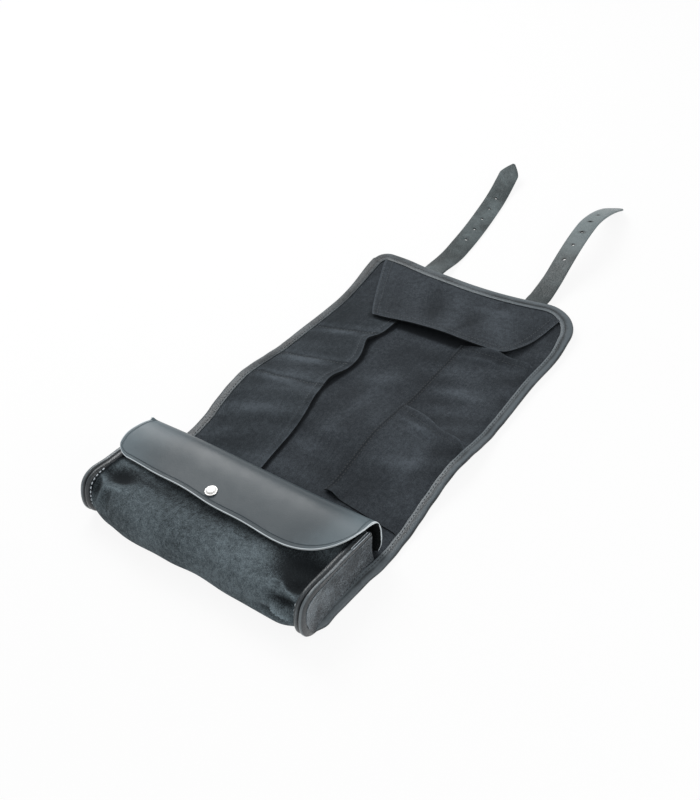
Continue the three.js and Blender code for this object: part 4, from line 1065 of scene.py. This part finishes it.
# Belts and straps: two leather belts sewn under the sheet, whose ends run free past the far edge.
# The free ends are punched with five holes, cut to a point and curl as they lie on the table.
HALF_STRAP = 13
HALF_TIP = 1.8
STRAP_LEATHER = 2.2
STRAP_ROUND = 0.7
STRAP_ROOT = 518.6
STRAP_LENGTH = 258
STRAP_POINT = 20
ROOT_END = 44
HOLES = (186, 160, 134, 108, 82)
HOLE_RADIUS = 2.0
BELT_GAP = 0.35
strap_colours = (0.023, 0.033, 0.035, 1), (0.14, 0.178, 0.186, 1)
strap_finish = leather("belt_leather", *strap_colours, 0.42, 0.0006)


def strap_section(half):
    """A flat strap's section from its underside up, with its edges rounded off by use."""
    bend = [(STRAP_ROUND, 0), (0.3 * STRAP_ROUND, 0.25 * STRAP_ROUND), (0, STRAP_ROUND)]
    side = [(half - a, b) for a, b in bend] + [(half - a, STRAP_LEATHER - b) for a, b in bend[::-1]]
    flat = [(half * share, STRAP_LEATHER) for share in (0.5, 0, -0.5)]
    return np.array(side + flat + [(-a, b) for a, b in side[::-1]] + [(-a, 0) for a, b in flat])


left_strap_x = course(
    [-20, 0, 50, 100, 150, 200, 230, 260],
    [-64.5, -64.2, -64.8, -69.2, -76.6, -85.4, -90.8, -95.6],
)


def strap_line(side, p):
    """Underside of a free strap at a length p past its root."""
    if side < 0:
        x = left_strap_x(p)
        y = STRAP_ROOT + p * 1.006
        z = 5.8 * (1 - ease(p, 0, 60)) + 2.9 * ease(p, 20, 70) + 13 * np.clip((p - 168) / 90, 0, 1) ** 2
    else:
        x = 73.5 - 7 * p / STRAP_LENGTH
        y = STRAP_ROOT + p * 240 / STRAP_LENGTH
        z = 5.8 * (1 - ease(p, 0, 60)) + 31 * np.sin(np.clip((p - 12) / 150, 0, 1) * np.pi / 2) ** 1.2
        z = z - 31 * np.clip((p - 150) / 108, 0, 1) ** 1.7
    return np.stack([x, y, z + 0.15], -1)


def strap_across(side, p):
    """The way across a free strap: the left one lies on its right edge, the right one on its left."""
    twist = np.radians(12) * side * ease(p, 0, 70)
    return np.stack([np.cos(twist), 0 * p, np.sin(twist)], -1)


def punched(piece, side):
    """Cuts the holes through a strap with round pins set square to it."""
    pin, pin_faces = lathe([(HOLE_RADIUS, -3), (HOLE_RADIUS, 6)], 20)
    points, faces = [], []
    for p in HOLES:
        here, ahead = strap_line(side, np.array([p, p + 1.0]))
        along, across = Vector(ahead - here).normalized(), Vector(strap_across(side, np.array([p]))[0])
        faces += [[len(points) + i for i in face] for face in pin_faces]
        points += (here + pin @ np.array([across, along, across.cross(along)])).tolist()
    tool = linked("pins", meshed("pins", points, faces, strap_finish))
    cut = piece.modifiers.new("holes", "BOOLEAN")
    cut.operation = "DIFFERENCE"
    cut.solver = "EXACT"
    cut.object = tool
    applied(piece).set_sharp_from_angle(angle=math.radians(45))
    bpy.data.objects.remove(tool)


for side, word in ((-1, "left"), (1, "right")):
    belt_x = -64.5 if side < 0 else 73.5
    for number, (start, end) in ((2, (240.5, 335)), (3, (335, 504))):
        y = np.linspace(start, end, int((end - start) / 3) + 2)
        line = np.stack([0 * y + belt_x, y, drape(y) - BELT_GAP - STRAP_LEATHER], -1)
        out = np.broadcast_to((1.0, 0.0, 0.0), line.shape)
        belt = swept(f"belt_{word}_{number - 1}", line, out, strap_section(HALF_STRAP), strap_finish)
        rows = [line + (offset, 0, -0.15) for offset in (-10, 10)]
        row = stitched(f"belt_stitches_{word}_{number - 1}", rows, dark_thread)
        nodes = ("belt_top", "belt_front") if number == 2 else ("belt_far",)
        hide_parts(*[f"{node}_{word}" for node in nodes])
        for part in (belt, row):
            over_fold(part)
    p = np.linspace(-15, ROOT_END, 24)
    line = strap_line(side, p)
    line[:, 2] = np.where(p < 0, drape(line[:, 1]) - BELT_GAP - STRAP_LEATHER, line[:, 2])
    out = strap_across(side, p)
    root_piece = swept(f"strap_{word}_root", line, out, strap_section(HALF_STRAP), strap_finish)
    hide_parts(f"strap_root_{word}")
    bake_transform(root_piece)
    point = STRAP_LENGTH - STRAP_POINT
    to_tip = STRAP_LENGTH - STRAP_POINT * np.linspace(1, 0, 14) ** 1.3
    p = np.concatenate([np.linspace(ROOT_END, point, 84)[:-1], to_tip])
    pointed = np.clip((p - point) / STRAP_POINT, 0, 1) ** 1.4
    half = HALF_TIP + (HALF_STRAP - HALF_TIP) * (1 - pointed)
    section = np.stack([strap_section(h) for h in half])
    # The right strap is made paler along most of its length, the left one only a little.
    paler_along_strap = 1.5 * ease(p, 45, 215) if side > 0 else 0.2 * ease(p, 45, 130)
    line, out = strap_line(side, p), strap_across(side, p)
    end_piece = swept(f"strap_{word}_end", line, out, section, strap_finish, paler_along_strap[:, None])
    punched(end_piece, side)
    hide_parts(f"strap_end_{word}")
    bend = strap_line(side, np.array([79.0, 97.0]))
    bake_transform(end_piece)

# Buckles: bent nickel wire frames with a flat prong, held under the sheet by a leather loop
# that is folded round the bar, slotted for the prong and sewn to the belt's near end.
for word in ("left", "right"):
    for node, body, slot in (
        (f"buckle_frame_{word}", f"buckle_{word}", "nickel"),
        (f"buckle_prong_{word}", f"prong_{word}", "nickel"),
        (f"chape_{word}", "top", "strap_leather"),
    ):
        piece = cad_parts[node].copy()
        piece.data = piece.data.copy()
        piece.parent = None
        piece.name = node + "_finished"
        bpy.context.collection.objects.link(piece)
        weld = piece.modifiers.new("weld", "WELD")
        weld.merge_threshold = 0.00002
        if slot == "nickel":
            round_off = piece.modifiers.new("round", "BEVEL")
            round_off.width = 0.0004
            round_off.segments = 2
            round_off.limit_method = "ANGLE"
        done = applied(piece)
        done.materials.clear()
        done.materials.append(nickel_finish if slot == "nickel" else strap_finish)
        smoothed(done, 40)
        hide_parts(node)
        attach(piece, body)

# Table, light and camera: a white table under even studio light, with a soft lamp above the far end.
# The camera stands at the height and side from which the roll was photographed.
table_finish, tone, shader = new_finish("table_white", 0.2)
table_tree = table_finish.node_tree
shader.inputs["Base Color"].default_value = (0.9, 0.9, 0.9, 1)
shader.inputs["Roughness"].default_value = 0.9
seen = tone.node("ShaderNodeLightPath")
mirrored = seen.maths("MAXIMUM", seen.other("Is Glossy Ray"), seen.other("Is Transmission Ray"))
direct = seen.maths("MAXIMUM", seen, mirrored)
glow = tone.node("ShaderNodeEmission", None, {"Color": (1, 1, 1, 1), "Strength": 1.0})
shaders = {0: direct * 0.9, 1: Tone(table_tree, shader.outputs[0]), 2: glow}
both = tone.node("ShaderNodeMixShader", None, shaders)
table_tree.links.new(both.socket, table_tree.nodes["Material Output"].inputs["Surface"])
sweep = [(0.02, -0.0004), (9, -0.0004), (10.5, 0.15), (11.6, 0.7), (12.1, 1.8), (12.3, 3.6)]
points, faces = lathe(sweep, 48)
table_mesh = bpy.data.meshes.new("table")
table_mesh.from_pydata(points.tolist(), [], [face[::-1] for face in faces[:-1]])
table_mesh.materials.append(table_finish)
table = linked("table", table_mesh)
world = bpy.data.worlds.new("studio")
world.use_nodes = True
background = world.node_tree.nodes["Background"]
background.inputs["Color"].default_value = (1, 1, 1, 1)
background.inputs["Strength"].default_value = 0.5
bpy.context.scene.world = world
for name, watts, wide, spot in (
    ("far_lamp", 20, 1.0, (-1.05, 0.85, 1.35)),
    ("near_lamp", 2.5, 1.0, (0.3, -1.3, 1.0)),
    ("right_lamp", 4.5, 0.8, (1.3, 0.1, 0.75)),
):
    lamp = bpy.data.lights.new(name, "AREA")
    lamp.energy = watts
    lamp.size = wide
    lamp_piece = linked(name, lamp)
    lamp_piece.location = spot
    aim = Vector((0, 0.1, 0)) - lamp_piece.location
    lamp_piece.rotation_euler = aim.to_track_quat("-Z", "Y").to_euler()
SENSOR = 36
FOCAL_SHARE = 1134.74 / 800
LOOK_AT = (-19.67, 275.48, 0)
DISTANCE = 1.20682
azimuth, elevation, roll = math.radians(38.42), math.radians(39.67), math.radians(-5.86)
level = math.cos(elevation)
away = Vector((math.sin(azimuth) * level, -math.cos(azimuth) * level, math.sin(elevation)))
flat_right = Vector((math.cos(azimuth), math.sin(azimuth), 0))
flat_up = away.cross(flat_right)
right = flat_right * math.cos(roll) + flat_up * math.sin(roll)
upward = flat_up * math.cos(roll) - flat_right * math.sin(roll)
view = bpy.data.cameras.new("camera")
view.sensor_fit = "AUTO"
view.sensor_width = SENSOR
view.lens = FOCAL_SHARE * SENSOR
camera = linked("camera", view)
stand = Vector(placed(LOOK_AT)) + away * DISTANCE
camera.matrix_world = Matrix.Translation(stand) @ Matrix((right, upward, away)).transposed().to_4x4()
bpy.context.scene.camera = camera
bpy.context.scene.view_settings.view_transform = "Standard"
